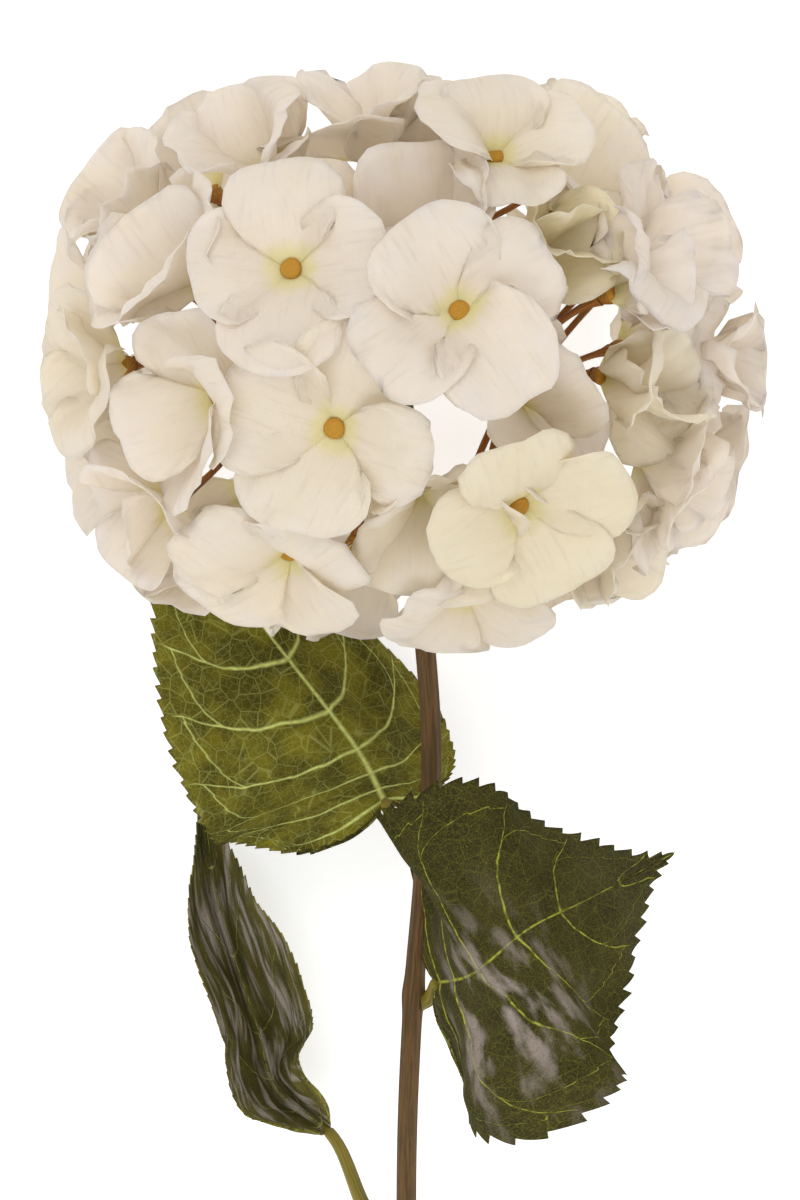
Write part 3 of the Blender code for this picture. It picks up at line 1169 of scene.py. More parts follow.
        draws = self.Draw
        x, y, _ = write.parts(write.node("GeometryNodeInputPosition").outputs[0])
        v = x * 2
        t = ((y + 0.5) * (1 - self.root)) + self.root
        ident = (petal * 7.3) + (size["Seed"] * 3.7)
        wide = self.half_angle * (1 + (chance(draws.WIDTH) * size["Spread"] * self.width_varies))
        uneven = write.noise(write.vector(v * self.uneven_grain, ident, 0.0), 1.0, 2.0) - 0.5
        fan = 1 - ((v**4) * self.corner) - (v * v * self.rounding)
        fan = fan - (v.bump(self.dimple_width) * self.dimple) + (uneven * self.uneven)
        reach = size["Length"] * fan * t
        reach = reach * (1 + (chance(draws.LENGTH) * size["Spread"] * self.length_varies))
        lie = v * wide
        across, along = reach * lie.math("SINE"), reach * lie.math("COSINE")
        share = ((along * self.straight) + (reach * (1 - self.straight))) / size["Length"]
        steep = (chance(draws.STEEP) - self.seldom_steep).math("MAXIMUM", 0.0)
        steep = steep * size["Spread"] * self.steep_varies
        first = size["Rise"] + (chance(draws.RISE) * size["Spread"] * self.rise_varies) + steep
        bend = size["Bend"] + (chance(draws.BEND) * size["Spread"] * self.bend_varies)
        bend = bend + (steep * self.steep_bend)
        half = bend * share * 0.5
        chord = 1 - (half * half / 6)
        slope = first - half
        out = along * chord * slope.math("COSINE")
        height = size["Length"] * share * chord * slope.math("SINE")
        tip = first - (bend * share)
        swell, crimp = (
            write.noise(write.vector(v * across_grain, t * along_grain, ident + apart), fine, 1.0) - 0.5
            for across_grain, along_grain, apart, fine in (self.swell_grain, self.crimp_grain)
        )
        rim = (t**2) * (self.rim_middle + (v.math("ABSOLUTE") ** 2))
        lift = size["Ruffle"] * ((rim * swell * self.swell) + ((t**3) * crimp * self.crimp))
        lift = lift + (across * across * (chance(draws.BOW) + self.cupped) * self.bow)
        lift = lift + (across * t * chance(draws.TWIST) * size["Spread"] * self.twist_varies)
        lift = lift + ((t.ramp(self.rim_from, 1.0) ** 2) * chance(draws.RIM) * self.rim_turn)
        lift = lift - (across.bump(self.groove_width) * t * self.groove_depth)
        lift = lift + (across * self.overlap) + self.above_neck
        reach_out = out - (lift * tip.math("SINE"))
        height = height + (lift * tip.math("COSINE"))
        turn = (petal * (2 * math.pi)) / size["Petals"] + (chance(draws.PLACE) * self.place_varies)
        sine, cosine = turn.math("SINE"), turn.math("COSINE")
        placed = write.vector(
            ((reach_out * cosine) - (across * sine)) * MM,
            ((reach_out * sine) + (across * cosine)) * MM,
            height * MM,
        )
        return write.vector(across, along, size["Tone"] + petal), placed

    def whorl(self, sizes: dict) -> bpy.types.Mesh:
        """Grows one floret's petals, with their thickness.

        Args:
            sizes: the tree's inputs by name.

        Returns:
            The petals' mesh, round the Z axis.
        """
        seedling = link("whorl", bpy.data.meshes.new("whorl"))
        mesh = grown(seedling, self.tree, {**sizes, "Finish": PETAL.material()})
        flat = link("whorl", mesh)
        shell = flat.modifiers.new("thickness", "SOLIDIFY")
        shell.thickness = self.thickness
        shell.offset = 0
        graph = bpy.context.evaluated_depsgraph_get()
        made = bpy.data.meshes.new_from_object(flat.evaluated_get(graph))
        bpy.data.objects.remove(flat)
        made.shade_smooth()
        return made


@dataclass
class Envelope:
    """The head's rounded outside, which crowded petals keep to."""

    middle: Array
    across: float = 80 * MM
    along: float = 66 * MM
    above: float = 76 * MM
    below: float = 70 * MM
    squareness: float = 2.6
    free: float = 1.12
    limit: float = 1.20

    def press(self, mesh: bpy.types.Mesh) -> None:
        """Draws in the parts of a whorl that stand out of the head.

        Args:
            mesh: the whorl, in its place.
        """
        points = np.zeros(len(mesh.vertices) * 3)
        mesh.vertices.foreach_get("co", points)
        local = points.reshape(-1, 3) - self.middle
        half = np.full_like(local, self.across)
        half[:, 1] = self.along
        half[:, 2] = np.where(local[:, 2] > 0, self.above, self.below)
        share = np.abs(local / half)
        flat = (share[:, 0] ** self.squareness + share[:, 1] ** self.squareness) ** (
            1 / self.squareness
        )
        far = np.hypot(flat, share[:, 2])
        room = self.limit - self.free
        over = np.maximum(far - self.free, 0)
        drawn = np.where(over > 0, self.free + room * (1 - np.exp(-over / room)), far)
        local = local * (drawn / far)[:, None]
        mesh.vertices.foreach_set("co", (local + self.middle).ravel())
        mesh.update()


@dataclass
class Floret:
    """One floret, read from its solid: four petals, an eye and a pedicel."""

    number: int
    axis: Array
    opening: Opening
    tone: float
    spread: float = 1.0
    length: float = 30.0
    # The solid's own petals: the length of their arc to its chord, and the chord.
    arc: float = 1.06
    petal_length: float = 24.5 * MM
    eye_radius: float = 2.6 * MM
    eye_top: float = 3.4 * MM
    eye_steps: int = 20
    eye_lobes: int = 3
    eye_wobble: float = 0.03
    # How the eye's ring is told apart in the solid: its least corners, and how level it is.
    ring_corners: int = 12
    ring_level: float = 0.01 * MM
    blade_foot: float = 1 * MM
    # The pedicel: its thickness, where it starts under the eye, how far the solid's own end
    # reaches, how much its top and its foot swell, and how far its two bends reach.
    pedicel_radius: float = 0.85 * MM
    pedicel_start: float = 0.8 * MM
    pedicel_end: float = 2.6 * MM
    pedicel_swells: tuple[float, float] = (1.3, 0.35)
    pedicel_bends: tuple[float, float] = (0.4, 0.25)
    pedicel_steps: int = 16
    pedicel_sides: int = 10
    # The eye's outline from its top's middle down: distance out and height, in millimetres.
    eye_outline: tuple = (
        (0.02, 3.45), (1.0, 3.5), (1.9, 3.5), (2.35, 3.3), (2.6, 2.85), (2.62, 2.2),
        (2.4, 1.3), (2.1, 0.4), (1.7, -0.5), (1.0, -1.3), (0.02, -1.6),
    )

    @property
    def node(self) -> str:
        """The name of the floret's solid."""
        return f"floret_{self.number:02d}"

    def read(self) -> None:
        """Finds the floret's place, roll, size and pedicel's end from its solid."""
        points = solid_points(self.node)
        reach = points @ self.axis
        self.turn = np.column_stack((*frame_about(self.axis), self.axis))
        self.place = self.eye_centre(points, reach) - self.axis * self.eye_top
        local = (points - self.place) @ self.turn
        blade = local[local[:, 2] > -self.blade_foot]
        wide = np.hypot(blade[:, 0], blade[:, 1])
        tip = blade[wide.argmax()]
        self.roll = math.atan2(tip[1], tip[0])
        self.size = wide.max() / self.petal_length
        foot = points[reach.argmin()]
        self.foot = points[np.linalg.norm(points - foot, axis=1) < self.pedicel_end].mean(0)

    def eye_centre(self, points: Array, reach: Array) -> Array:
        """Finds the middle of the eye's flat top, which is a level ring of corners.

        Args:
            points: the solid's corners.
            reach: how far each of them is along the floret's axis.

        Returns:
            The middle of the ring that is nearest to the eye's size.
        """
        order = np.argsort(reach)
        sorted_points, steps = points[order], np.diff(reach[order])
        best, centre = math.inf, points.mean(0)
        for ring in np.split(sorted_points, np.nonzero(steps > self.ring_level)[0] + 1):
            if len(ring) < self.ring_corners:
                continue
            middle = ring.mean(0)
            away = np.linalg.norm(ring - middle, axis=1)
            miss = np.abs(away[away > 0.5 * self.eye_radius] - self.eye_radius).max(initial=0)
            if miss < best:
                best, centre = miss, middle
        LOG.debug("%s: the eye's ring is %.3f mm off", self.node, best / MM)
        return centre

    def matrix(self) -> Array:
        """The turn from the floret's own axes to its place on the head."""
        cosine, sine = math.cos(self.roll), math.sin(self.roll)
        roll = np.array(((cosine, -sine, 0), (sine, cosine, 0), (0, 0, 1)))
        return self.turn @ roll

    def eye(self) -> bpy.types.Mesh:
        """The eye: a flat-topped button on a short neck, turned round the floret's axis.

        Returns:
            The eye's mesh, round the Z axis.
        """
        profile = np.array(self.eye_outline)
        turn = np.linspace(0, 2 * math.pi, self.eye_steps, endpoint=False)
        wobble = 1 + self.eye_wobble * np.sin(self.eye_lobes * turn + self.number)
        radius = profile[:, 0][:, None] * wobble
        height = np.repeat(profile[:, 1][:, None], self.eye_steps, 1)
        points = np.stack((radius * np.cos(turn), radius * np.sin(turn), height), -1)
        points = points.reshape(-1, 3)
        faces = [face[::-1] for face in grid_faces(len(profile), self.eye_steps, wrap=True)]
        faces.append(tuple(range(self.eye_steps)))
        last = (len(profile) - 1) * self.eye_steps
        faces.append(tuple(range(last + self.eye_steps - 1, last - 1, -1)))
        mesh = mesh_of("eye", points * MM, faces)
        store(mesh, "cloth", points)
        mesh.materials.append(EYE.material())
        return mesh

    def pedicel(self, stalks: StalkMaker) -> bpy.types.Mesh:
        """The pedicel: a bent line from under the eye to the solid's own end, in its place.

        Args:
            stalks: the maker of stalks.

        Returns:
            The pedicel's mesh.
        """
        start = self.place - self.axis * self.pedicel_start
        reach = np.linalg.norm(start - self.foot)
        first, second = self.pedicel_bends
        handle = start - self.axis * reach * first
        toward = unit(handle - self.foot)
        ends = (start, handle, self.foot + toward * reach * second, self.foot)
        line = bezier(ends, self.pedicel_steps)
        share = np.linspace(0, 1, len(line))
        top, foot = self.pedicel_swells
        radii = self.pedicel_radius * (1 + top * np.exp(-share * 18) + foot * share**4)
        return stalks.sweep(line, radii, PEDICEL, sides=self.pedicel_sides)

    def build(self, petals: PetalMaker, stalks: StalkMaker, envelope: Envelope) -> None:
        """Makes the floret in its place.

        Args:
            petals: the maker of whorls.
            stalks: the maker of stalks.
            envelope: the head's outside, which the petals keep to.
        """
        self.read()
        bend, ruffle = self.opening.value
        slope = math.acos(min(self.size / self.arc, 0.98))
        whorl = petals.whorl({
            "Length": self.length, "Rise": slope + bend / 2, "Bend": bend, "Ruffle": ruffle,
            "Tone": self.tone, "Seed": self.number, "Spread": self.spread,
        })
        parts = [whorl, self.eye()]
        place = Matrix.LocRotScale(Vector(self.place), Matrix(self.matrix()), None)
        for part in parts:
            part.transform(place)
        envelope.press(whorl)
        parts.append(self.pedicel(stalks))
        piece = joined(f"look_{self.node}", parts)
        points = np.zeros(len(piece.data.vertices) * 3)
        piece.data.vertices.foreach_get("co", points)
        piece.data.vertices.foreach_set("co", settle(points.reshape(-1, 3)).ravel())
        piece.data.update()
        hand_over(piece)


@dataclass
class Head:
    """The ball of florets, and the rays that carry them."""

    rays: int = 7
    ray_radius: float = 1.5 * MM
    ray_sides: int = 14
    knob_radius: float = 3.9 * MM
    # From the ray's outer end back: where the knob's rings start and the plain part ends, and
    # how many rings each has. The knob's own end stays open by the blunt share.
    knob_from: float = 8 * MM
    knob_rings: int = 14
    plain_until: float = 9 * MM
    plain_rings: int = 8
    blunt: float = 0.0004
    # How much the petals of the foremost florets, and of the others, differ in a whorl.
    foremost: int = 5
    calm: float = 0.6
    lively: float = 1.1
    # Each floret's longitude and latitude on the head, how far it leans to the right and up,
    # how its petals stand, and how warm its white is.
    florets: tuple = (
        (-19, 13, 4, -3, Opening.FLAT, 0.10), (10, 4, -4, 0, Opening.WAVY, 0.08),
        (-12, -20, 3, 5, Opening.OPEN, 0.22), (26, -37, -2, 8, Opening.FLAT, 0.50),
        (23, 43, -4, -5, Opening.OPEN, 0.18), (-42, 16, -15, 4, Opening.OPEN, 0.12),
        (-68, -4, 8, -6, Opening.OPEN, 0.25), (-64, -37, 10, 6, Opening.FLAT, 0.10),
        (40, 9, 22, 12, Opening.WAVY, 0.02), (-38, 46, 12, -8, Opening.CUPPED, 0.10),
        (-34, -52, 0, 14, Opening.WAVY, 0.20), (8, 27, -8, 14, Opening.OPEN, 0.10),
        (64, 22, -12, -4, Opening.WAVY, 0.05), (80, -4, -12, 8, Opening.WAVY, 0.08),
        (62, 48, -10, -10, Opening.CUPPED, 0.25), (-72, 30, 10, 4, Opening.OPEN, 0.12),
        (-12, 62, -8, -10, Opening.OPEN, 0.10), (66, -26, 6, -10, Opening.WAVY, 0.12),
        (30, -68, -8, 12, Opening.WAVY, 0.16), (-37, -14, -14, -8, Opening.CUPPED, 0.15),
        (33, 25, 10, -16, Opening.CUPPED, 0.60), (28, -16, 3, 2, Opening.FLAT, 0.10),
        (72, -50, -12, 10, Opening.WAVY, 0.30), (-90, 14, 6, -6, Opening.OPEN, 0.12),
        (-92, -22, 6, 8, Opening.WAVY, 0.12), (-100, -54, 8, -10, Opening.OPEN, 0.15),
        (30, 72, -10, 6, Opening.CUPPED, 0.10), (-110, 46, -8, -10, Opening.OPEN, 0.10),
        (100, 26, 8, 10, Opening.OPEN, 0.10), (104, -24, -10, -8, Opening.WAVY, 0.12),
        (112, 54, 6, -12, Opening.OPEN, 0.20), (-120, 20, -10, 6, Opening.WAVY, 0.15),
        (-122, -14, 8, -8, Opening.OPEN, 0.10), (128, 4, -8, 8, Opening.OPEN, 0.12),
        (136, 32, 10, 6, Opening.CUPPED, 0.30), (5, -45, 0, 0, Opening.OPEN, 0.30),
        (-150, 32, -8, 6, Opening.OPEN, 0.20), (54, -9, -4, 0, Opening.WAVY, 0.35),
        (-174, 12, 4, 8, Opening.FLAT, 0.10), (178, 44, -8, -8, Opening.OPEN, 0.12),
        (-172, -20, 5, -6, Opening.FLAT, 0.15), (-136, -36, -8, 8, Opening.OPEN, 0.20),
        (134, -40, 8, -6, Opening.WAVY, 0.15), (170, -50, -6, 8, Opening.OPEN, 0.12),
        (-160, -60, 6, -8, Opening.OPEN, 0.15), (100, -60, -10, 6, Opening.OPEN, 0.25),
    )

    def ray_line(self, number: int) -> tuple[Array, Array, Array]:
        """A ray's middle, direction and its two ends' distances, from its solid.

        Args:
            number: which ray.

        Returns:
            The middle of its line, its direction, and the distances of its ends from there.
        """
        points = solid_points(f"ray_{number}")
        middle = points.mean(0)
        along = np.linalg.svd(points - middle)[2][0]
        reach = (points - middle) @ along
        wide = np.linalg.norm(np.cross(points - middle, along), axis=1)
        if reach[wide.argmax()] < 0:
            along, reach = -along, -reach
        return middle, along, np.array((reach.min(), reach.max()))

    def middle(self) -> Array:
        """The head's middle: the point nearest to all the rays' lines.

        Returns:
            The middle.
        """
        left, right = np.zeros((3, 3)), np.zeros(3)
        for number in range(1, self.rays + 1):
            middle, along, _ = self.ray_line(number)
            across = np.eye(3) - np.outer(along, along)
            left += across
            right += across @ middle
        return np.linalg.solve(left, right)

    def build_rays(self, stalks: StalkMaker) -> None:
        """Makes the rays: slim, each swelling to a round knob.

        Args:
            stalks: the maker of stalks.
        """
        for number in range(1, self.rays + 1):
            middle, along, (low, high) = self.ray_line(number)
            reach = np.concatenate((
                np.linspace(low, high - self.plain_until, self.plain_rings),
                np.linspace(high - self.knob_from, high, self.knob_rings),
            ))
            knob = np.clip((reach - (high - self.knob_radius)) / self.knob_radius, -1.6, 1)
            ball = self.knob_radius * np.sqrt(np.clip(1 - knob**2, self.blunt, 1))
            radii = np.where(knob > -1, np.maximum(ball, self.ray_radius * (knob < 0)),
                             self.ray_radius)
            points = middle + reach[:, None] * along
            mesh = stalks.sweep(points, radii, RAY, sides=self.ray_sides)
            piece = link(f"look_ray_{number}", mesh)
            hand_over(piece)

    def build(self, petals: PetalMaker, stalks: StalkMaker, middle: Array) -> None:
        """Makes the rays and all the florets.

        Args:
            petals: the maker of whorls.
            stalks: the maker of stalks.
            middle: the head's middle.
        """
        self.build_rays(stalks)
        envelope = Envelope(middle)
        for number, row in enumerate(self.florets, 1):
            longitude, latitude, right_lean, up_lean, opening, tone = row
            axis = leaning(direction(longitude, latitude), right_lean, up_lean)
            spread = self.calm if number <= self.foremost else self.lively
            Floret(number, axis, opening, tone, spread).build(petals, stalks, envelope)


# ---------------------------------------------------------------- stem and leaves


@dataclass
class Stem:
    """The stem: ribbed, gently bowed, swollen at its top and where a leaf stands."""

    middle: Array
    radius: float = 2.65 * MM
    top_radius: float = 4.2 * MM
    top_share: float = 0.02
    ribs: int = 9
    rib_depth: float = 0.045
    sides: int = 54
    rings: int = 240
    fine_rings: int = 400
    low: float = -70.15 * MM
    # The line from the head's middle: across, along, and how far down it is of the whole fall.
    path: tuple = (
        (0.0, 2.3, 0.0), (2.0, -30, 0.08), (6.2, -70, 0.19), (8.4, -105, 0.28),
        (6.2, -140, 0.37), (3.4, -175, 0.46), (1.8, -225, 0.60), (3.0, -300, 0.79),
        (1.0, -385, 1.0),
    )
    # Where it swells for a leaf, in millimetres along from the head's middle, with the
    # swelling's height and its reach along.
    nodes: tuple = (-128.0, -170.0, -236.0)
    node_swell: float = 0.45 * MM
    node_reach: float = 4.0

    def line(self, count: int) -> Array:
        """The stem's line, in the model's own frame."""
        points = np.array([(x * MM, y * MM, fall * self.low) for x, y, fall in self.path])
        return through(points, count) + self.middle

    def build(self, stalks: StalkMaker) -> None:
        """Makes the stem.

        Args:
            stalks: the maker of stalks.
        """
        line = self.line(self.rings)
        along = (line - self.middle)[:, 1] / MM
        share = np.linspace(0, 1, len(line))
        radii = self.radius + (self.top_radius - self.radius) * np.exp(-share / self.top_share)
        for node in self.nodes:
            radii = radii + self.node_swell * np.exp(-(((along - node) / self.node_reach) ** 2))
        mesh = stalks.sweep(
            line, radii, STEM, sides=self.sides, ribs=self.ribs, rib_depth=self.rib_depth
        )
        piece = link("look_stem", mesh)
        hand_over(piece)


@dataclass
class Leaf:
    """A toothed, net-veined leaf on its stalk."""

    name: str
    middle: Array
    midrib: tuple
    normal: tuple[float, float, float]
    left: tuple[float, float]
    right: tuple[float, float]
    curl: float
    along: float
    side: int
    faces_up: Finish
    faces_down: Finish
    seed: int
    puckered: float = 1.0
    # How soon, as a share of the half width, a half of the blade takes on its fold.
    fold_share: float = 0.05
    # The teeth, in millimetres: their spacing along the margin and their depth. Then how far
    # they lean to the tip, how much they vary, and the shares of the margin without them.
    tooth: float = 3.4
    tooth_depth: float = 1.9
    tooth_lean: float = 0.35
    tooth_wander: float = 0.25
    plain_base: float = 0.12
    plain_tip: float = 0.06
    margin_steps: int = 400
    midrib_steps: int = 81
    # How the blade's mesh runs from midrib to margin: the margin's share that is the base, how
    # the rows crowd to it and where they end on the midrib, how the columns crowd, how the rows
    # bow, and how close to the margin the teeth stay.
    base_share: float = 0.20
    root_power: float = 1.45
    root_end: float = 0.985
    column_power: float = 0.85
    bow: float = 0.045
    rim_power: int = 8
    rows: int = 230
    columns: int = 26
    thickness: float = 0.35 * MM
    stalk_radius: float = 2.1 * MM
    stalk_steps: int = 18
    stalk_sides: int = 18
    stalk_seat: float = 0.3 * MM
    stalk_under: float = 0.012
    stalk_profile: tuple[float, float, float] = (1.12, 0.35, 0.35)
    settled_below: float = 1.5 * MM
    seam: float = 0.02 * MM
    # The half width and length, in millimetres, that the teeth are cut at.
    cut_at: tuple[float, float] = (43.0, 105.0)
    # The puckers' wavelengths and depths, in millimetres.
    waves: tuple = ((46.0, 1.6), (30.0, 1.0), (17.0, 0.42), (9.0, 0.20))
    # How far from the midrib they reach their full depth and how deep they are on it, the
    # quilting between side veins, and the groove over the midrib with its width.
    pucker_from: float = 12.0
    pucker_least: float = 0.15
    quilt_veins: float = 7.0
    quilt_slant: float = 0.9
    quilt_depth: float = 0.35
    groove_depth: float = 0.55
    groove_width: float = 1.3
    # Half of the blade's outline: across as a share of its half width, along as a share of
    # its length.
    outline: tuple = (
        (0.0, 0.0), (0.26, -0.035), (0.58, -0.01), (0.84, 0.10), (0.98, 0.25), (0.995, 0.41),
        (0.90, 0.57), (0.70, 0.72), (0.45, 0.845), (0.20, 0.935), (0.05, 0.99), (0.0, 1.05),
    )

    def frames(self, share: Array) -> tuple[Array, Array, Array]:
        """The midrib's points and directions at shares of its length, past its ends too.

        Args:
            share: the shares.

        Returns:
            The points, the directions along, and the directions out of the blade.
        """
        count = self.midrib_steps
        line = through(self.midrib, count)
        slope = unit(np.gradient(line, axis=0))
        place = np.clip(share, 0, 1) * (count - 1)
        low = np.minimum(place.astype(int), count - 2)
        part = (place - low)[..., None]
        points = line[low] * (1 - part) + line[low + 1] * part
        along = unit(slope[low] * (1 - part) + slope[low + 1] * part)
        length = np.linalg.norm(np.diff(line, axis=0), axis=1).sum()
        points = points + along * ((share - np.clip(share, 0, 1)) * length)[..., None]
        up = np.array(self.normal)
        out = unit(up - along * (along @ up)[..., None])
        return points + self.middle, along, out

    def flat_half(self) -> tuple[Array, Array, Array, Array]:
        """One half of the blade laid flat.

        Returns:
            For each corner, its distance across as a share of the half width, its share of
            the length, its rank along the margin and its share of the way out.
        """
        margin = through(self.outline, self.margin_steps)
        size = np.array(self.cut_at)
        scaled = margin * size
        run = np.concatenate(([0], np.cumsum(np.linalg.norm(np.diff(scaled, axis=0), axis=1))))
        reach = np.linspace(0, run[-1], self.rows)
        edge = np.column_stack([np.interp(reach, run, margin[:, axis]) for axis in (0, 1)])
        rank = reach / run[-1]
        slope = unit(np.gradient(edge * size, axis=0))
        outward = np.column_stack((slope[:, 1], -slope[:, 0]))
        cut = (reach / self.tooth) % 1.0
        live = np.clip(rank / self.plain_base, 0, 1) * np.clip((1 - rank) / self.plain_tip, 0, 1)
        wander = 1 + self.tooth_wander * np.sin(reach * 0.37 + self.seed)
        push = self.tooth_depth * (cut - 0.5) * live * wander
        lean = self.tooth_depth * self.tooth_lean * cut * live
        toothed = edge + (outward * push[:, None] + slope * lean[:, None]) / size
        toothed[:, 0] = np.maximum(toothed[:, 0], 0)
        root = np.clip((rank - self.base_share) / (1 - self.base_share), 0, 1)
        root = root**self.root_power * self.root_end
        out = np.linspace(0, 1, self.columns) ** self.column_power
        t = out[None, :]
        cuts = toothed - edge
        only_rim = t**self.rim_power
        width = edge[:, 0:1] * t + cuts[:, 0:1] * only_rim
        bow = np.sin(math.pi * t) * self.bow * np.clip(rank / self.base_share, 0, 1)[:, None]
        length = root[:, None] * (1 - t) + edge[:, 1:2] * t + cuts[:, 1:2] * only_rim
        length = length - bow
        return width, length, np.broadcast_to(rank[:, None], width.shape), np.broadcast_to(
            t, width.shape
        )

    def pucker(self, across: Array, along: Array, rank: Array, out: Array) -> Array:
        """How far the cloth of the blade stands off its smooth shape, in metres.

        Args:
            across: millimetres from the midrib, signed.
            along: millimetres along the midrib.
            rank: each place's rank along the margin.
            out: each place's share of the way out.

        Returns:
            The heights.
        """
        chance = np.random.default_rng(self.seed)
        height = np.zeros(across.shape)
        for wave, depth in self.waves:
            for _ in range(3):
                turn = chance.uniform(0, 2 * math.pi)
                shift = chance.uniform(0, 2 * math.pi)
                place = across * math.cos(turn) + along * math.sin(turn)
                height += depth / 2 * np.sin(2 * math.pi * place / wave + shift)
        phase = rank * self.quilt_veins - out**2 * self.quilt_slant
        bulge = np.cos(2 * math.pi * phase) * np.sin(math.pi * np.clip(out, 0, 1))
        quilt = bulge * -self.quilt_depth
        fade = np.clip(np.abs(across) / self.pucker_from, self.pucker_least, 1)
        groove = -self.groove_depth * np.exp(-((across / self.groove_width) ** 2))
        return (height * fade * self.puckered + quilt + groove) * MM

    def blade(self) -> bpy.types.Mesh:
        """Makes the blade's mesh, with what its finish reads.

        Returns:
            The mesh, without its thickness.
        """
        width, length, rank, out = self.flat_half()
        rows, columns = width.shape
        halves = []
        for sign, (half_width, fold) in ((1, self.right), (-1, self.left)):
            points, along, normal = self.frames(length)
            side = np.cross(along, normal) * sign
            spread = half_width * width
            bent = 1 - np.exp(-width / self.fold_share)
            angle = math.radians(fold) * bent + self.curl * width**2
            place = points + side * (spread * np.cos(angle))[..., None]
            place = place + normal * (spread * np.sin(angle))[..., None]
            lean = normal * np.cos(angle)[..., None] - side * np.sin(angle)[..., None]
            x, y = sign * spread / MM, length * self.cut_at[1]
            place = place + lean * self.pucker(x, y, rank, out)[..., None]
            facts = np.stack((x, y, np.full_like(x, self.seed)), -1)
            veins = np.stack((rank, out, np.full_like(x, sign)), -1)
            halves.append((place, facts, veins))
        corners = [np.concatenate([kept.reshape(-1, 3) for kept in kind]) for kind in zip(*halves)]
        count = rows * columns
        first = [face[::-1] for face in grid_faces(rows, columns)]
        second = [tuple(corner + count for corner in face[::-1]) for face in first]
        mesh = mesh_of(self.name, corners[0], first + second)
        store(mesh, "blade", corners[1])
        store(mesh, "veining", corners[2])
        shape = bmesh.new()
        shape.from_mesh(mesh)
        bmesh.ops.remove_doubles(shape, verts=shape.verts, dist=self.seam)
        bmesh.ops.recalc_face_normals(shape, faces=shape.faces)
        up = sum((face.normal * face.calc_area() for face in shape.faces), Vector())
        if up.dot(Vector(self.normal)) < 0:
            bmesh.ops.reverse_faces(shape, faces=shape.faces)
        shape.to_mesh(mesh)
        shape.free()
        mesh.materials.append(self.faces_up.material())
        mesh.materials.append(self.faces_down.material())
        return mesh

    def build(self, stem: Stem, stalks: StalkMaker) -> None:
        """Makes the blade and its stalk.

        Args:
            stem: the stem that it stands on.
            stalks: the maker of stalks.
        """
        flat = link("flat", self.blade())
        shell = flat.modifiers.new("thickness", "SOLIDIFY")
        shell.thickness = self.thickness
        shell.offset = 0
        shell.material_offset = 1
        shell.material_offset_rim = 1
        graph = bpy.context.evaluated_depsgraph_get()
        mesh = bpy.data.meshes.new_from_object(flat.evaluated_get(graph))
        bpy.data.objects.remove(flat)
        mesh.shade_smooth()
        points = np.zeros(len(mesh.vertices) * 3)
        mesh.vertices.foreach_get("co", points)
        settled = settle(points.reshape(-1, 3), self.settled_below)
        mesh.vertices.foreach_set("co", settled.ravel())
        mesh.update()
        hand_over(link(f"look_{self.name}", mesh))
        self.build_stalk(stem, stalks)

    def build_stalk(self, stem: Stem, stalks: StalkMaker) -> None:
        """Makes the stalk, which bends out from the stem to the blade's base.

        Args:
            stem: the stem that it stands on.
            stalks: the maker of stalks.
        """
        line = stem.line(stem.fine_rings)
        start = line[np.abs(line[:, 1] - self.middle[1] - self.along).argmin()]
        out = np.array((float(self.side), 0.0, 0.0))
        start = start + out * (stem.radius - self.stalk_seat)
        points, along, _ = self.frames(np.array((self.stalk_under,)))
        end = points[0]
        reach = np.linalg.norm(end - start) / 3
        handles = (start, start + out * reach, end - along[0] * reach, end)
        course = bezier(handles, self.stalk_steps)
        share = np.linspace(0, 1, len(course))
        foot, thins, flare = self.stalk_profile
        radii = self.stalk_radius * (foot - thins * share + flare * np.exp(-share * 14))
        radii[-1] = radii[-1] * 0.5
        mesh = stalks.sweep(course, radii, STALK, sides=self.stalk_sides)
        piece = link(f"look_{self.name.replace('leaf', 'stalk')}", mesh)
        hand_over(piece)


NARROW = (
    (0.0, 0.0), (0.14, 0.01), (0.36, 0.06), (0.62, 0.15), (0.86, 0.28), (1.0, 0.43),
    (0.97, 0.58), (0.80, 0.73), (0.52, 0.86), (0.24, 0.95), (0.06, 1.01), (0.0, 1.08),
)


POINTED = (
    (0.0, 0.0), (0.26, -0.035), (0.58, -0.01), (0.86, 0.10), (1.0, 0.25), (0.98, 0.41),
    (0.86, 0.56), (0.62, 0.70), (0.36, 0.815), (0.17, 0.905), (0.055, 0.98), (0.0, 1.07),
)


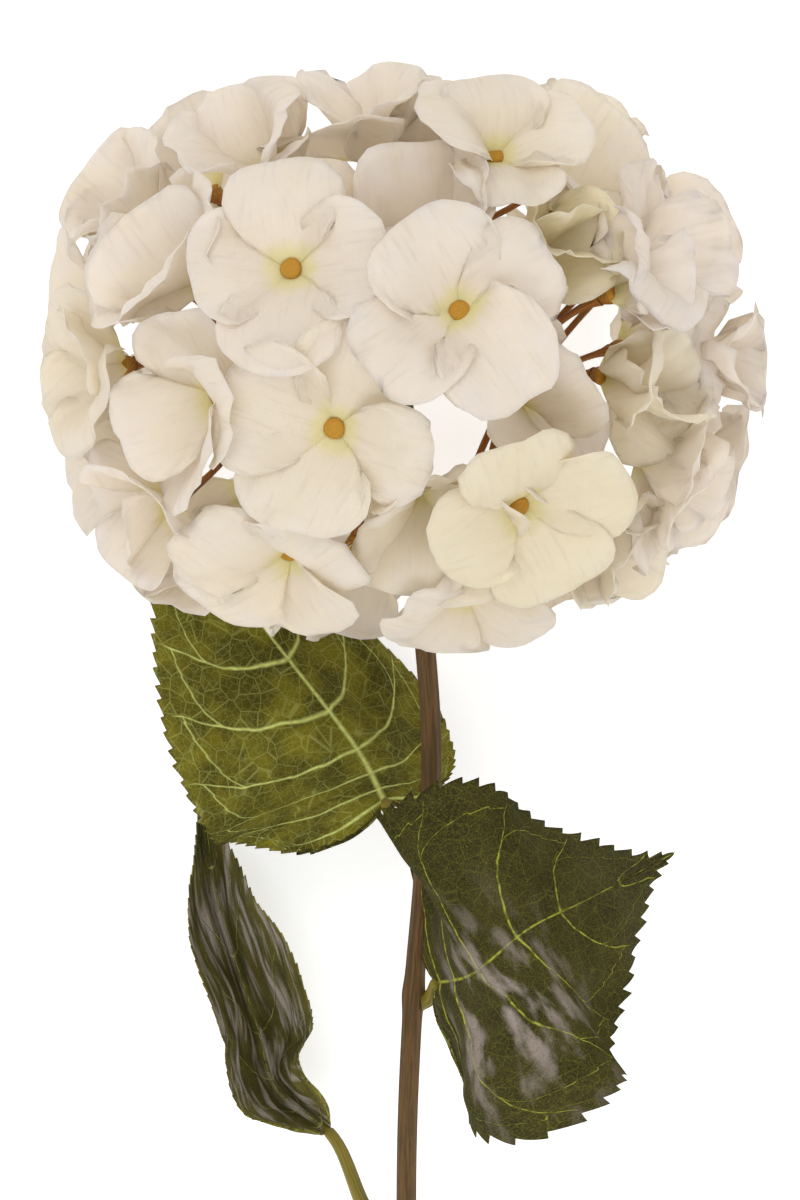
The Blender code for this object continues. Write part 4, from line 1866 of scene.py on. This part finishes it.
def leaves(middle: Array) -> list[Leaf]:
    """The three leaves, from the head's middle.

    Args:
        middle: the head's middle.

    Returns:
        The leaves.
    """
    return [
        Leaf(
            name="leaf_under_head", middle=middle,
            midrib=(
                (-0.0040, -0.118, -0.031), (-0.0130, -0.102, -0.037),
                (-0.0367, -0.072, -0.048), (-0.0650, -0.036, -0.060),
            ),
            normal=(0.1, 0.1, 1), left=(0.046, 0), right=(0.034, -34), curl=-0.08,
            along=-0.130, side=-1, faces_up=LEAF_UNDER, faces_down=LEAF_UPPER, seed=5,
            puckered=0.8, tooth=3.8, tooth_depth=1.5,
        ),
        Leaf(
            name="leaf_right", middle=middle,
            midrib=(
                (0.0095, -0.1660, -0.023), (0.0190, -0.1600, 0.006),
                (0.0330, -0.1480, 0.012), (0.0490, -0.1410, 0.004),
                (0.0700, -0.1330, -0.024),
            ),
            normal=(-0.05, 0.12, 1), left=(0.0475, -2), right=(0.046, -2), curl=0.0,
            along=-0.171, side=1, faces_up=LEAF_UPPER, faces_down=LEAF_UNDER, seed=3,
            outline=POINTED, tooth=4.8, tooth_depth=2.3,
        ),
        Leaf(
            name="leaf_left", middle=middle,
            midrib=(
                (-0.0205, -0.211, -0.061), (-0.0349, -0.200, -0.067),
                (-0.0410, -0.181, -0.0712), (-0.0505, -0.151, -0.070),
                (-0.0545, -0.124, -0.063),
            ),
            normal=(0.0, 0.0, 1), left=(0.036, 72), right=(0.036, 55), curl=0.1,
            along=-0.236, side=-1, faces_up=LEAF_UPPER_PAINTED_LIGHT, faces_down=LEAF_UNDER, seed=8,
            puckered=0.5, outline=NARROW,
        ),
    ]


# ----------------------------------------------------------------------- studio


@dataclass
class Studio:
    """The plain pale surface, the soft light and the camera that looks straight down."""

    middle: Array
    lens: float = 100.0
    sensor: float = 36.0
    view_height: float = 0.312
    view_drop: float = 0.0637
    floor_size: float = 3.0
    sky: float = 0.82
    key: float = 5.0
    key_place: tuple[float, float, float] = (-0.5, 0.6, 1.3)
    key_size: float = 0.9
    fill: float = 4.0
    fill_place: tuple[float, float, float] = (0.2, -0.9, 0.9)
    fill_size: float = 1.0
    lamps_aim: tuple[float, float, float] = (0, -0.05, 0)

    def build(self) -> None:
        """Makes the floor, the lights and the camera."""
        scene = bpy.context.scene
        scene.view_settings.view_transform = "Standard"
        square = np.array(((-1, -1, 0), (1, -1, 0), (1, 1, 0), (-1, 1, 0)))
        corners = square * self.floor_size
        floor = link("floor", mesh_of("floor", corners, [(0, 1, 2, 3)]))
        floor.data.materials.append(FloorFinish().material())
        world = bpy.data.worlds.new("studio")
        world.use_nodes = True
        world.node_tree.nodes["Background"].inputs["Color"].default_value = (1, 1, 1, 1)
        world.node_tree.nodes["Background"].inputs["Strength"].default_value = self.sky
        scene.world = world
        self.lamp("key", self.key_place, self.key_size, self.key)
        self.lamp("fill", self.fill_place, self.fill_size, self.fill)
        camera = bpy.data.cameras.new("camera")
        camera.lens = self.lens
        camera.sensor_width = self.sensor
        seen = link("camera", camera)
        away = self.view_height * self.lens / camera.sensor_width
        seen.location = Vector(self.middle) + Vector((0, -self.view_drop, away))
        scene.camera = seen

    def lamp(self, name: str, place: tuple[float, float, float], size: float, power: float) -> None:
        """Adds a soft square lamp that faces the head.

        Args:
            name: its name.
            place: where it is, from the head's middle.
            size: how wide it is.
            power: its power in watts.
        """
        data = bpy.data.lights.new(name, "AREA")
        data.shape = "SQUARE"
        data.size = size
        data.energy = power
        lamp = link(name, data)
        lamp.location = Vector(self.middle) + Vector(place)
        toward = Vector(self.lamps_aim) - Vector(place)
        lamp.rotation_euler = toward.to_track_quat("-Z", "Y").to_euler()


def main() -> None:
    """Builds the flower piece by piece, then the studio round it."""
    logging.basicConfig(level=logging.INFO, format="%(name)s: %(message)s")
    petals, stalks = PetalMaker(), StalkMaker()
    head = Head()
    middle = head.middle()
    LOG.info("the head's middle is at %s", np.round(middle, 4))
    head.build(petals, stalks, middle)
    stem = Stem(middle)
    stem.build(stalks)
    for leaf in leaves(middle):
        leaf.build(stem, stalks)
    Studio(middle).build()
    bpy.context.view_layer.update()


if __name__ == "__main__":
    main()
